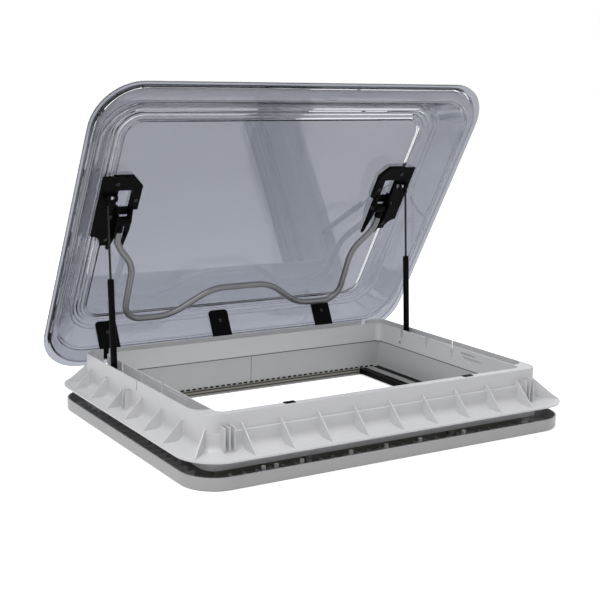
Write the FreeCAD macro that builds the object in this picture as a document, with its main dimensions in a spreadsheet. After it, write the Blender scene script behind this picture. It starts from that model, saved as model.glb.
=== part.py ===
import FreeCAD, Part
import math
import os
import Sketcher

# Hinged roof light for a caravan roof, cut-out 700 by 500 mm.
# Origin: centre of the cut-out on the roof skin. X runs along the long side, the hinge is on +Y, Z is up.
# The lid is drawn shut and then swung open about its hinge, as in the photograph.

os.makedirs("parts", exist_ok=True)
doc = FreeCAD.newDocument("RoofLight")
sheet = doc.addObject("Spreadsheet::Sheet", "Sizes")

SIZES = {
    # Roof cut-out and the frame's flange
    "cutout_long": 700.0,
    "cutout_short": 500.0,
    "cutout_play": 3.0,
    "flange_width": 40.0,
    "flange_corner": 68.0,
    "flange_thickness": 3.0,
    # Frame walls
    "wall": 2.5,
    "wall_corner": 26.0,
    "rim_height": 60.5,
    "side_wall_set": 42.0,
    "front_wall_set": 54.0,
    "back_wall_set": 43.0,
    "side_gutter": 30.5,
    "back_gutter": 34.5,
    "front_band": 15.0,
    "gutter_floor": 25.5,
    "gutter_front": 200.0,
    "opening_corner": 12.0,
    "spigot_depth": 26.0,
    "ledge_height": 33.0,
    "ledge_depth": 6.0,
    "root_fillet": 12.0,
    # Webs between the walls and the flange
    "gusset": 2.2,
    "gusset_margin": 7.0,
    "side_gusset_height": 37.0,
    "side_gusset_start": -163.0,
    "side_gusset_pitch": 73.0,
    "front_gusset_height": 43.0,
    "front_gusset_start": -281.0,
    "front_gusset_pitch": 71.5,
    "corner_rib_pitch": 9.0,
    "corner_rib_depth": 17.0,
    "corner_rib_start": 302.0,
    # Cut-outs in the frame walls
    "latch_slot_y": 36.0,
    "latch_slot": 6.0,
    "latch_slot_height": 38.0,
    "latch_rib_depth": 9.0,
    "drain_notch_y": 7.0,
    "drain_notch": 4.0,
    "drain_notch_depth": 17.5,
    "clip_notch_y": 50.0,
    "clip_notch_pitch": 79.0,
    "clip_notch": 6.0,
    "clip_notch_depth": 16.5,
    "clip_hole": 3.5,
    "foot_notch": 7.0,
    "back_notch_x": 300.0,
    "back_notch": 12.0,
    "back_notch_depth": 30.0,
    "keeper_y": -77.5,
    "keeper_slot": 41.0,
    "keeper_slot_height": 4.0,
    "keeper_top": 54.0,
    "keeper_smile_length": 57.0,
    "keeper_smile_drop": 20.0,
    # Screws that pull the ceiling trim up to the frame
    "boss": 11.0,
    "boss_drop": 6.0,
    "boss_bore": 26.0,
    "screw_play": 0.2,
    "seat_gap": 0.3,
    "long_screw": 4.0,
    "long_screw_length": 60.0,
    "long_screw_head": 8.0,
    "long_screw_head_height": 2.4,
    "head_recess": 6.0,
    "side_screw_y": 130.0,
    "end_screw_x": 150.0,
    "front_screw_inset": 5.0,
    # Ceiling trim
    "roof_gap": 24.0,
    "trim_margin": 6.0,
    "trim_corner": 60.0,
    "trim_height": 22.5,
    "trim_edge_fillet": 4.0,
    "trim_rib": 1.6,
    "trim_rib_pitch": 24.0,
    "trim_rib_height": 14.0,
    "trim_rib_length": 30.0,
    "trim_post": 10.0,
    "trim_mouth": 1.0,
    # Liner and blind guides
    "liner": 2.0,
    "liner_step": 1.0,
    "rail_top": 14.5,
    "rail_outset": 3.0,
    "rail_depth": 9.5,
    "rail_strip_depth": 4.5,
    "rail_strip_height": 4.0,
    "rail_groove": 2.6,
    "rail_groove_depth": 5.0,
    "rail_upper_groove": 5.5,
    "rail_lower_groove": 11.4,
    "rail_slot": 8.0,
    "rail_slot_height": 2.0,
    "rail_slot_depth": 1.5,
    "rail_slot_pitch": 13.0,
    "end_rail": 6.0,
    # Blinds, stowed at the +X end
    "cassette": 14.5,
    "pack_length": 20.0,
    "pack_height": 4.6,
    "bar_width": 16.0,
    "bar_height": 5.0,
    "bar_play": 0.5,
    "bar_grip": 2.0,
    "tab_height": 2.0,
    "tab_length": 12.0,
    # Lid hinge
    "hinge_set_back": 30.0,
    "hinge_z": 38.0,
    "lid_open_angle": 61.15,
    "hinge_middle": -23.5,
    "hinge_pitch": 250.0,
    "strap_width": 43.0,
    "strap": 3.6,
    "strap_length": 69.0,
    "strap_corner": 7.0,
    "strap_barrel": 12.0,
    "strap_screw": 46.0,
    "strap_notch": 2.0,
    "hinge_pin": 6.0,
    "pin_play": 0.6,
    "pin_head": 9.0,
    "pin_head_height": 2.0,
    "ear": 7.0,
    "ear_play": 0.5,
    "ear_round": 16.0,
    "base_plate": 4.0,
    "base_forward": 18.0,
    "base_behind": 8.0,
    "base_screw_spacing": 24.0,
    "base_screw_forward": 12.0,
    "small_screw": 3.5,
    "small_head": 7.0,
    "small_head_height": 1.8,
    # Outer dome, drawn shut
    "dome_overhang": 65.0,
    "dome_front_overhang": 60.0,
    "dome_back_overhang": 64.0,
    "dome_corner": 88.0,
    "dome_rim": 52.5,
    "dome_sheet": 3.0,
    "dome_rim_width": 14.0,
    "dome_rise": 71.5,
    "dome_run": 200.0,
    # Inner pane, drawn shut
    "pane_sheet": 2.5,
    "mouth_z": 55.2,
    "mouth_step": 48.0,
    "mouth_front_step": 41.4,
    "mouth_back_step": 29.0,
    "mouth_corner": 70.0,
    "shoulder_z": 97.4,
    "shoulder_step": 19.0,
    "shoulder_back_step": 7.0,
    "shoulder_corner": 52.0,
    "pane_z": 102.0,
    "pane_inset": 89.0,
    "pane_front_inset": 98.4,
    "pane_back_inset": 77.6,
    "pane_corner": 36.0,
    # Brackets on the pane, drawn shut
    "bracket_width": 81.0,
    "land_inset": 23.0,
    "bracket_front": -96.0,
    "bracket_back": 54.0,
    "bracket_plate": 3.5,
    "bracket_drop": 4.9,
    "bracket_cheek": 4.0,
    "bracket_cheek_front": -31.0,
    "bracket_cheek_back": 66.0,
    "bracket_cheek_depth": 22.0,
    "inner_cheek_inset": 71.0,
    "inner_cheek_depth": 15.0,
    "bridge": 1.9,
    "bridge_length": 17.0,
    "bridge_back": -10.0,
    "bracket_chamfer": 20.0,
    "channel_inset": 42.0,
    "window_inset": 35.0,
    "window_width": 29.0,
    "window_length": 43.0,
    "window_back": -24.0,
    "scallop": 22.0,
    # Bow handle
    "bow_pivot_y": 0.0,
    "bow_pivot_z": 92.5,
    "bow_tilt": 6.1,
    "bow_tube": 12.5,
    "bow_leg_inset": 51.0,
    "bow_leg": 48.0,
    "bow_waist": 43.0,
    "bow_waist_start": 98.0,
    "bow_foot": 221.0,
    "bow_hump_start": 150.0,
    "bow_hump_end": 66.0,
    "bow_hump": 165.0,
    "bow_bend": 33.0,
    "bow_hump_bend": 55.0,
    "bow_barrel": 18.0,
    "bow_barrel_play": 1.0,
    "bow_sleeve": 15.5,
    "bow_sleeve_length": 21.0,
    "bow_pin": 5.0,
    "rim_clip_x": 186.0,
    "rim_clip": 20.0,
    "rim_clip_reach": 9.0,
    "rim_clip_height": 1.5,
    "rim_clip_drop": 6.0,
    "rim_clip_lip": 1.2,
    # Gas struts
    "strut_inset": 13.0,
    "foot_y": 135.0,
    "foot_z": 33.0,
    "foot_pin": 6.0,
    "stud_y": -56.0,
    "stud_z": 88.0,
    "strut_tube": 12.0,
    "strut_tube_start": 14.0,
    "strut_tube_length": 180.0,
    "strut_bore": 4.8,
    "strut_bore_bottom": 24.0,
    "strut_rod": 4.2,
    "strut_overlap": 25.0,
    "strut_eye": 12.0,
    "strut_eye_width": 9.0,
    "strut_neck": 7.0,
    "strut_socket": 10.0,
    "strut_socket_length": 14.0,
    "strut_collar": 7.0,
    "stud_ball": 8.0,
    "stud_shank": 4.0,
    "stud_lug": 4.0,
    "stud_lug_inset": 31.0,
    "stud_lug_width": 14.0,
}

for row, (name, value) in enumerate(SIZES.items(), start=1):
    sheet.set("A%d" % row, name)
    sheet.set("B%d" % row, "%g" % value)
    sheet.setAlias("B%d" % row, name)
doc.recompute()


class Size:
    """A length that carries both its expression on the sheet and its present value."""

    def __init__(self, text, value):
        self.text = text
        self.value = value

    def __float__(self):
        return float(self.value)

    def joined(self, other, sign, value):
        return Size("(%s %s %s)" % (self.text, sign, as_size(other).text), value)

    def __add__(self, other):
        return self.joined(other, "+", self.value + float(other))

    def __sub__(self, other):
        return self.joined(other, "-", self.value - float(other))

    def __mul__(self, other):
        return self.joined(other, "*", self.value * float(other))

    def __truediv__(self, other):
        return self.joined(other, "/", self.value / float(other))

    def __radd__(self, other):
        return as_size(other) + self

    def __rsub__(self, other):
        return as_size(other) - self

    def __rmul__(self, other):
        return as_size(other) * self

    def __neg__(self):
        return as_size(0) - self


def as_size(value):
    if isinstance(value, Size):
        return value
    return Size("%.9g" % value if value >= 0 else "(%.9g)" % value, float(value))


class Sheet:
    """Gives each cell of the sheet as a Size."""

    def __getattr__(self, name):
        return Size("Sizes." + name, SIZES[name])


S = Sheet()
PARTS = []


# Helpers for bodies, sketches and features


def new_body(name):
    body = doc.addObject("PartDesign::Body", name)
    body.Label = name
    PARTS.append(body)
    return body


def origin(body, role):
    for feature in body.Origin.OriginFeatures:
        if feature.Role == role:
            return feature
    raise ValueError(role)


def new_sketch(body, plane, offset):
    """A sketch parallel to one of the body's own planes, at a distance along the plane's normal."""
    sketch = body.newObject("Sketcher::SketchObject", body.Name + "_Sketch")
    sketch.AttachmentSupport = [(origin(body, plane), "")]
    sketch.MapMode = "FlatFace"
    sketch.setExpression("AttachmentOffset.Base.z", as_size(offset).text)
    return sketch


def pin_point(sketch, geometry, point, x, y):
    """Ties a point of the sketch to the origin with two driven distances."""
    for kind, distance in (("DistanceX", x), ("DistanceY", y)):
        distance = as_size(distance)
        index = sketch.addConstraint(
            Sketcher.Constraint(kind, -1, 1, geometry, point, float(distance))
        )
        sketch.setExpression("Constraints[%d]" % index, distance.text)


def add_polygon(sketch, points):
    """A closed outline of straight lines through the given points."""
    vectors = [FreeCAD.Vector(float(x), float(y), 0) for x, y in points]
    first = sketch.GeometryCount
    count = len(points)
    for i in range(count):
        sketch.addGeometry(Part.LineSegment(vectors[i], vectors[(i + 1) % count]), False)
    for i in range(count):
        following = first + (i + 1) % count
        sketch.addConstraint(Sketcher.Constraint("Coincident", first + i, 2, following, 1))
    for i, (x, y) in enumerate(points):
        pin_point(sketch, first + i, 1, x, y)


def add_circle(sketch, x, y, diameter):
    centre = FreeCAD.Vector(float(x), float(y), 0)
    radius = as_size(diameter) / 2
    circle = Part.Circle(centre, FreeCAD.Vector(0, 0, 1), float(radius))
    index = sketch.addGeometry(circle, False)
    pin_point(sketch, index, 3, x, y)
    tie = sketch.addConstraint(Sketcher.Constraint("Radius", index, float(radius)))
    sketch.setExpression("Constraints[%d]" % tie, radius.text)


def add_rounded(sketch, left, right, front, back, corner):
    """A rectangle with four equal round corners."""
    left, right, front, back = [as_size(v) for v in (left, right, front, back)]
    corner = as_size(corner)
    x0, x1, y0, y1, r = [float(v) for v in (left, right, front, back, corner)]
    first = sketch.GeometryCount
    sides = (
        ((x0 + r, y0), (x1 - r, y0)),
        ((x1, y0 + r), (x1, y1 - r)),
        ((x1 - r, y1), (x0 + r, y1)),
        ((x0, y1 - r), (x0, y0 + r)),
    )
    centres = ((x1 - r, y0 + r), (x1 - r, y1 - r), (x0 + r, y1 - r), (x0 + r, y0 + r))
    for i in range(4):
        start, end = sides[i]
        sketch.addGeometry(
            Part.LineSegment(FreeCAD.Vector(*start, 0), FreeCAD.Vector(*end, 0)), False
        )
        round_corner = Part.Circle(FreeCAD.Vector(*centres[i], 0), FreeCAD.Vector(0, 0, 1), r)
        angle = (i - 1) * math.pi / 2
        sketch.addGeometry(Part.ArcOfCircle(round_corner, angle, angle + math.pi / 2), False)
    for i in range(4):
        line = first + 2 * i
        arc = line + 1
        after = first + (2 * i + 2) % 8
        sketch.addConstraint(Sketcher.Constraint("Tangent", line, 2, arc, 1))
        sketch.addConstraint(Sketcher.Constraint("Tangent", arc, 2, after, 1))
        kind = "Horizontal" if i % 2 == 0 else "Vertical"
        if i != 3:
            sketch.addConstraint(Sketcher.Constraint(kind, line))
        tie = sketch.addConstraint(Sketcher.Constraint("Radius", arc, r))
        sketch.setExpression("Constraints[%d]" % tie, corner.text)
    for line, kind, value in (
        (first, "DistanceY", front),
        (first + 2, "DistanceX", right),
        (first + 4, "DistanceY", back),
        (first + 6, "DistanceX", left),
    ):
        tie = sketch.addConstraint(Sketcher.Constraint(kind, -1, 1, line, 1, float(value)))
        sketch.setExpression("Constraints[%d]" % tie, value.text)


def rounded_sketch(body, height, left, right, front, back, corner):
    sketch = new_sketch(body, "XY_Plane", height)
    add_rounded(sketch, left, right, front, back, corner)
    return sketch


def polygon_sketch(body, plane, offset, points):
    sketch = new_sketch(body, plane, offset)
    add_polygon(sketch, points)
    return sketch


def circle_sketch(body, plane, offset, centres, diameter):
    sketch = new_sketch(body, plane, offset)
    for x, y in centres:
        add_circle(sketch, x, y, diameter)
    return sketch


def extrude(body, kind, sketch, length, backwards, both):
    feature = body.newObject("PartDesign::" + kind, body.Name + "_" + kind)
    feature.Refine = False
    feature.Profile = sketch
    feature.setExpression("Length", as_size(length).text)
    feature.Length = float(as_size(length))
    feature.Reversed = backwards
    if both:
        feature.SideType = "Symmetric"
    body.Tip = feature
    return feature


def pad(body, sketch, length, backwards=False, both=False):
    return extrude(body, "Pad", sketch, length, backwards, both)


def pocket(body, sketch, length, backwards=False, both=False):
    """Cuts against the sketch's normal, or along it when backwards. A cut must take some material away."""
    doc.recompute()
    before = body.Shape.Volume
    feature = extrude(body, "Pocket", sketch, length, backwards, both)
    doc.recompute()
    if body.Shape.Volume > before - 0.01:
        raise RuntimeError("a pocket of %s cuts nothing" % body.Name)
    return feature


def pattern(body, feature, role, pitch, count):
    """Repeats a feature count times, one pitch apart along an axis of the body."""
    row = body.newObject("PartDesign::LinearPattern", body.Name + "_Row")
    row.Refine = False
    row.Originals = [feature]
    row.Direction = (origin(body, role), [""])
    row.Occurrences = count
    length = as_size(pitch) * (count - 1)
    row.Length = float(length)
    row.setExpression("Length", length.text)
    body.Tip = row
    return row


def loft(body, kind, sketches, ruled=True):
    feature = body.newObject("PartDesign::" + kind, body.Name + "_Loft")
    feature.Profile = sketches[0]
    feature.Sections = sketches[1:]
    feature.Ruled = ruled
    body.Tip = feature
    return feature


def edges_where(shape, test):
    """Names of the edges whose two ends and middle all pass the test."""
    names = []
    for index, edge in enumerate(shape.Edges, start=1):
        middle = edge.valueAt((edge.FirstParameter + edge.LastParameter) / 2)
        ends = [vertex.Point for vertex in edge.Vertexes]
        if all(test(point) for point in ends + [middle]):
            names.append("Edge%d" % index)
    return names


def fillet(body, names, radius):
    base = body.Tip
    feature = body.newObject("PartDesign::Fillet", body.Name + "_Fillet")
    feature.Base = (base, names)
    feature.Radius = float(as_size(radius))
    feature.setExpression("Radius", as_size(radius).text)
    body.Tip = feature
    return feature


# Sizes worked out from the sheet

flange_x = S.cutout_long / 2 + S.flange_width
flange_y = S.cutout_short / 2 + S.flange_width
wall_x = flange_x - S.side_wall_set
wall_front = S.front_wall_set - flange_y
wall_back = flange_y - S.back_wall_set
inner_x = wall_x - S.wall - S.side_gutter
inner_back = wall_back - S.wall - S.back_gutter
inner_front = wall_front + S.front_band
spigot_x = S.cutout_long / 2 - S.cutout_play
spigot_y = S.cutout_short / 2 - S.cutout_play
floor_under = S.gutter_floor - S.wall
trim_x = flange_x - S.trim_margin
trim_y = flange_y - S.trim_margin
trim_top = -S.roof_gap
trim_bottom = trim_top - S.trim_height
trim_plate = trim_bottom + S.wall
rail_top = trim_plate + S.rail_top
liner_x = inner_x + S.liner_step
liner_back = inner_back + S.liner_step
liner_front = inner_front - S.liner_step
rail_back = liner_back + S.rail_outset
rail_front = liner_front - S.rail_outset
rail_end = inner_x + S.end_rail
mouth_back = rail_back - S.rail_depth
mouth_front = rail_front + S.rail_depth
boss_x = (wall_x - S.wall + inner_x + S.wall) / 2
boss_back = (wall_back - S.wall + inner_back + S.wall) / 2
boss_front = wall_front + S.front_screw_inset
boss_places = [(boss_x * side, S.side_screw_y * end) for side in (-1, 1) for end in (-1, 1)]
boss_places += [(S.end_screw_x * side, y) for side in (-1, 1) for y in (boss_front, boss_back)]
hinge_places = [S.hinge_middle + S.hinge_pitch * step for step in (-1, 0, 1)]
base_half = S.strap_width / 2 + S.ear_play + S.ear
hinge_y = S.cutout_short / 2 + S.hinge_set_back
base_front = hinge_y - S.base_forward
base_back = hinge_y + S.base_behind
base_screw_y = hinge_y - S.base_screw_forward
dome_x = S.cutout_long / 2 + S.dome_overhang
dome_front = S.cutout_short / 2 + S.dome_front_overhang
dome_back = S.cutout_short / 2 + S.dome_back_overhang
pane_x = dome_x - S.pane_inset
pane_front = dome_front - S.pane_front_inset
pane_back = dome_back - S.pane_back_inset
shoulder_x = pane_x + S.shoulder_step
shoulder_front = pane_front + S.shoulder_step
shoulder_back = pane_back + S.shoulder_back_step
lip_x = shoulder_x + S.mouth_step
lip_front = shoulder_front + S.mouth_front_step
lip_back = shoulder_back + S.mouth_back_step
bracket_outer = shoulder_x
bracket_inner = bracket_outer - S.bracket_width
bracket_land = bracket_outer - S.land_inset
channel_x = bracket_outer - S.channel_inset
cheek_x = bracket_outer - S.inner_cheek_inset
window_outer = bracket_outer - S.window_inset
window_inner = window_outer - S.window_width
window_front = S.window_back - S.window_length
bow_leg_x = bracket_outer - S.bow_leg_inset
bow_waist_x = bow_leg_x - S.bow_waist
strut_x = bracket_outer - S.strut_inset
stud_lug_x = bracket_outer - S.stud_lug_inset

lid_pose = FreeCAD.Placement(
    FreeCAD.Vector(),
    FreeCAD.Rotation(FreeCAD.Vector(1, 0, 0), -float(S.lid_open_angle)),
    FreeCAD.Vector(0, float(hinge_y), float(S.hinge_z)),
)


def tilted(y, z, angle):
    """A placement that moves the origin to (0, y, z) and turns it about X."""
    turn = FreeCAD.Rotation(FreeCAD.Vector(1, 0, 0), angle)
    return FreeCAD.Placement(FreeCAD.Vector(0, float(y), float(z)), turn)


# Roof frame: the moulding that takes the most skill


def frame_walls(body):
    """Flange, outer walls, spigot, gutters and the open middle."""
    pad(body, rounded_sketch(body, 0, -flange_x, flange_x, -flange_y, flange_y, S.flange_corner),
        S.flange_thickness)
    lower = rounded_sketch(body, 0, -wall_x, wall_x, wall_front - S.ledge_depth, wall_back,
                           S.wall_corner + S.ledge_depth)
    pad(body, lower, S.ledge_height)
    upper = rounded_sketch(body, 0, -wall_x, wall_x, wall_front, wall_back, S.wall_corner)
    pad(body, upper, S.rim_height)
    doc.recompute()

    def on_root(point):
        on_flange = abs(point.z - float(S.flange_thickness)) < 0.01
        return on_flange and abs(point.x) < float(wall_x) + 1 and abs(point.y) < float(wall_back) + 1

    fillet(body, edges_where(body.Shape, on_root), S.root_fillet)
    spigot = rounded_sketch(body, 0, -spigot_x, spigot_x, -spigot_y, spigot_y, S.wall_corner)
    pad(body, spigot, S.spigot_depth, backwards=True)
    hollow = rounded_sketch(body, S.rim_height, S.wall - wall_x, wall_x - S.wall, -S.gutter_front,
                            wall_back - S.wall, S.wall_corner - S.wall)
    pocket(body, hollow, S.rim_height - S.gutter_floor)
    ring = rounded_sketch(body, floor_under, -inner_x - S.wall, inner_x + S.wall, inner_front - S.wall,
                          inner_back + S.wall, S.opening_corner + S.wall)
    add_rounded(ring, -inner_x, inner_x, inner_front, inner_back, S.opening_corner)
    pad(body, ring, S.rim_height - floor_under)
    lower_hollow = rounded_sketch(body, -S.spigot_depth, S.wall - spigot_x, spigot_x - S.wall,
                                  S.wall - spigot_y, spigot_y - S.wall, S.wall_corner - S.wall)
    pocket(body, lower_hollow, S.spigot_depth, backwards=True)
    under = rounded_sketch(body, 0, S.wall - spigot_x, spigot_x - S.wall, wall_front + S.wall,
                           spigot_y - S.wall, S.wall_corner - S.wall)
    pocket(body, under, floor_under, backwards=True)
    front_cavity(body)
    opening = rounded_sketch(body, S.rim_height, -inner_x, inner_x, inner_front, inner_back,
                             S.opening_corner)
    pocket(body, opening, S.rim_height)


def front_cavity(body):
    """The hollow inside the front band and its two corners, open below."""
    far_x = spigot_x - S.wall
    near_x = inner_x + S.wall
    far_y = wall_front + S.wall
    near_y = inner_front - S.wall
    bevel = S.wall_corner - S.wall * 1.6
    end_y = -S.gutter_front - S.wall
    half = [(far_x - bevel, far_y), (far_x, far_y + bevel), (far_x, end_y), (near_x, end_y),
            (near_x, near_y)]
    mirrored = [(-x, y) for x, y in reversed(half)]
    sketch = polygon_sketch(body, "XY_Plane", 0, half + mirrored)
    pocket(body, sketch, S.rim_height - S.wall, backwards=True)


def web_points(wall, out, reach, height, cap):
    """Outline of a triangular web: out is +1 or -1, the way it points away from the wall."""
    low = S.flange_thickness / 2
    root = wall - S.wall * (out * 0.5)
    return [
        (root, low),
        (root, height),
        (wall + cap * out, height),
        (reach * out, S.flange_thickness),
        (reach * out, low),
    ]


def side_webs(body, y, reach, height, cap):
    """One web on each side wall."""
    sketch = new_sketch(body, "XZ_Plane", -y)
    for side in (-1, 1):
        add_polygon(sketch, web_points(wall_x * side, side, reach, height, cap))
    return pad(body, sketch, S.gusset, both=True)


def end_web(body, x, wall, out):
    points = web_points(wall, out, flange_y - S.gusset_margin, S.front_gusset_height, S.wall)
    return pad(body, polygon_sketch(body, "YZ_Plane", x, points), S.gusset, both=True)


def frame_webs(body):
    first = side_webs(body, S.side_gusset_start, flange_x - S.gusset_margin, S.side_gusset_height,
                      S.wall)
    pattern(body, first, "Y_Axis", S.side_gusset_pitch, 6)
    first = side_webs(body, S.latch_slot_y - S.latch_slot, wall_x + S.root_fillet,
                      S.latch_slot_height, S.latch_rib_depth)
    pattern(body, first, "Y_Axis", S.latch_slot * 2, 2)
    pattern(body, end_web(body, S.front_gusset_start, wall_front, -1), "X_Axis",
            S.front_gusset_pitch, 9)
    for bay in (-0.5, 0.5):
        first = end_web(body, S.hinge_middle + S.hinge_pitch * (bay - 0.25), wall_back, 1)
        pattern(body, first, "X_Axis", S.hinge_pitch / 4, 3)
    corner_ribs = new_sketch(body, "XY_Plane", S.flange_thickness / 2)
    for side in (-1, 1):
        for place in range(3):
            x = (S.corner_rib_start + S.corner_rib_pitch * place) * side
            add_polygon(corner_ribs, box_points(x, S.gusset, wall_front - S.corner_rib_depth,
                                                wall_front + S.wall / 2))
    pad(body, corner_ribs, S.front_gusset_height - S.flange_thickness / 2)


def box_points(middle, width, low, high):
    half = as_size(width) / 2
    middle = as_size(middle)
    return [(middle - half, low), (middle + half, low), (middle + half, high), (middle - half, high)]


def add_smile(sketch):
    """The hollow below the keeper's slot, a chord with an arc under it."""
    half = S.keeper_smile_length / 2
    middle = S.keeper_y - half / 2
    top = S.keeper_top - S.keeper_slot_height * 2
    drop = S.keeper_smile_drop - S.keeper_slot_height * 2
    left = FreeCAD.Vector(float(middle - half), float(top), 0)
    right = FreeCAD.Vector(float(middle + half), float(top), 0)
    dip = FreeCAD.Vector(float(middle), float(top - drop), 0)
    arc = sketch.addGeometry(Part.Arc(left, dip, right), False)
    chord = sketch.addGeometry(Part.LineSegment(right, left), False)
    sketch.addConstraint(Sketcher.Constraint("Coincident", arc, 2, chord, 1))
    sketch.addConstraint(Sketcher.Constraint("Coincident", arc, 1, chord, 2))
    pin_point(sketch, chord, 1, middle + half, top)
    pin_point(sketch, chord, 2, middle - half, top)
    radius = (half * half + drop * drop) / (drop * 2)
    tie = sketch.addConstraint(Sketcher.Constraint("Radius", arc, float(radius)))
    sketch.setExpression("Constraints[%d]" % tie, radius.text)


def frame_cutouts(body):
    """Slots and notches for the latches, clips, drains and struts, the same on both sides."""
    rim = S.rim_height
    outer = wall_x - S.wall / 2
    inner = inner_x + S.wall / 2
    inner_wall = new_sketch(body, "YZ_Plane", inner)
    for place in (0, 1):
        y = S.clip_notch_y - S.clip_notch_pitch * place
        low = rim - S.clip_notch_depth
        add_polygon(inner_wall, box_points(y, S.clip_notch, low, rim))
        add_circle(inner_wall, y, low - S.clip_hole, S.clip_hole)
    add_polygon(inner_wall, box_points(S.foot_y - S.drain_notch, S.foot_notch,
                                       rim - S.drain_notch_depth, rim))
    add_polygon(inner_wall, box_points(S.keeper_y, S.keeper_slot,
                                       S.keeper_top - S.keeper_slot_height, S.keeper_top))
    add_smile(inner_wall)
    cuts = [pocket(body, inner_wall, S.wall * 2, both=True)]
    drain = polygon_sketch(body, "YZ_Plane", outer, box_points(
        S.drain_notch_y, S.drain_notch, rim - S.drain_notch_depth, rim))
    cuts.append(pocket(body, drain, S.wall * 2, both=True))
    latch = polygon_sketch(body, "YZ_Plane", outer, box_points(
        S.latch_slot_y, S.latch_slot, S.flange_thickness, S.latch_slot_height))
    cuts.append(pocket(body, latch, S.root_fillet * 2 + S.wall, both=True))
    pin_hole = circle_sketch(body, "YZ_Plane", strut_x, [(S.foot_y, S.foot_z)],
                             S.foot_pin + S.screw_play)
    cuts.append(pocket(body, pin_hole, S.side_gutter + S.wall * 5, both=True))
    mirror = body.newObject("PartDesign::Mirrored", "roof_frame_Mirrored")
    mirror.Refine = False
    mirror.Originals = cuts
    mirror.MirrorPlane = (origin(body, "YZ_Plane"), [""])
    body.Tip = mirror
    notches = new_sketch(body, "XZ_Plane", S.wall / 2 - wall_back)
    for side in (-1, 1):
        add_polygon(notches, box_points(S.back_notch_x * side, S.back_notch,
                                        rim - S.back_notch_depth, rim))
    pocket(body, notches, S.wall * 2, both=True)


def make_roof_frame():
    body = new_body("roof_frame")
    frame_walls(body)
    frame_webs(body)
    bosses = circle_sketch(body, "XY_Plane", -S.boss_drop, boss_places, S.boss)
    pad(body, bosses, floor_under + S.boss_drop + S.wall / 2)
    frame_cutouts(body)
    bores = circle_sketch(body, "XY_Plane", -S.boss_drop, boss_places, S.long_screw + S.screw_play)
    pocket(body, bores, S.boss_bore, backwards=True)
    holes = circle_sketch(body, "XY_Plane", 0, base_screw_places(), S.small_screw + S.screw_play)
    pocket(body, holes, S.flange_thickness, backwards=True)


def base_screw_places():
    half = S.base_screw_spacing / 2
    return [(x + half * side, base_screw_y) for x in hinge_places for side in (-1, 1)]


# Ceiling side: trim, liner and blind guides


def make_ceiling_trim():
    body = new_body("ceiling_trim")
    outline = rounded_sketch(body, trim_bottom, -trim_x, trim_x, -trim_y, trim_y, S.trim_corner)
    pad(body, outline, S.trim_height)
    doc.recompute()
    bottom = edges_where(body.Shape, lambda point: abs(point.z - float(trim_bottom)) < 0.01)
    fillet(body, bottom, S.trim_edge_fillet)
    hollow = rounded_sketch(body, trim_top, S.wall - trim_x, trim_x - S.wall, S.wall - trim_y,
                            trim_y - S.wall, S.trim_corner - S.wall)
    pocket(body, hollow, trim_top - trim_plate)
    mouth = rounded_sketch(body, trim_plate, -inner_x, inner_x, mouth_front + S.trim_mouth,
                           mouth_back - S.trim_mouth, S.trim_mouth * 3)
    pocket(body, mouth, S.wall)
    low = trim_plate - S.wall / 2
    high = trim_plate + S.trim_rib_height
    for end in (-1, 1):
        face = (trim_y - S.wall / 2) * end
        tip = face - S.trim_rib_length * end
        first = pad(body, polygon_sketch(body, "YZ_Plane", S.trim_rib_pitch * -13, [
            (face, low), (face, high), (tip, high), (tip, low)]), S.trim_rib, both=True)
        pattern(body, first, "X_Axis", S.trim_rib_pitch, 27)
        face = (trim_x - S.wall / 2) * end
        tip = face - S.trim_rib_length * end
        first = pad(body, polygon_sketch(body, "XZ_Plane", S.trim_rib_pitch * 9, [
            (face, low), (face, high), (tip, high), (tip, low)]), S.trim_rib, both=True)
        pattern(body, first, "Y_Axis", S.trim_rib_pitch, 19)
    posts = circle_sketch(body, "XY_Plane", low, boss_places, S.trim_post)
    pad(body, posts, trim_top - low)
    recess = circle_sketch(body, "XY_Plane", trim_bottom, boss_places, S.trim_post - S.liner / 2)
    pocket(body, recess, S.head_recess, backwards=True)
    through = circle_sketch(body, "XY_Plane", trim_top, boss_places, S.long_screw + S.pin_play)
    pocket(body, through, S.trim_height)


def make_trim_screws():
    """Eight long screws that draw the trim and the frame together."""
    body = new_body("trim_screws")
    body.AllowCompound = True
    seat = trim_bottom + S.head_recess
    shanks = circle_sketch(body, "XY_Plane", seat, boss_places, S.long_screw)
    pad(body, shanks, S.long_screw_length)
    heads = circle_sketch(body, "XY_Plane", seat, boss_places, S.long_screw_head)
    pad(body, heads, S.long_screw_head_height, backwards=True)


def make_liner(name, side):
    """One U-shaped half of the liner that closes the roof's cut edge."""
    body = new_body(name)
    far = liner_x + S.liner
    back = liner_back + S.liner
    front = liner_front - S.liner
    seam = S.seat_gap / 2
    points = [
        (seam, front), (far, front), (far, back), (seam, back),
        (seam, liner_back), (liner_x, liner_back), (liner_x, liner_front), (seam, liner_front),
    ]
    outline = polygon_sketch(body, "XY_Plane", rail_top, [(x * side, y) for x, y in points])
    pad(body, outline, floor_under - S.seat_gap - rail_top)


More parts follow.
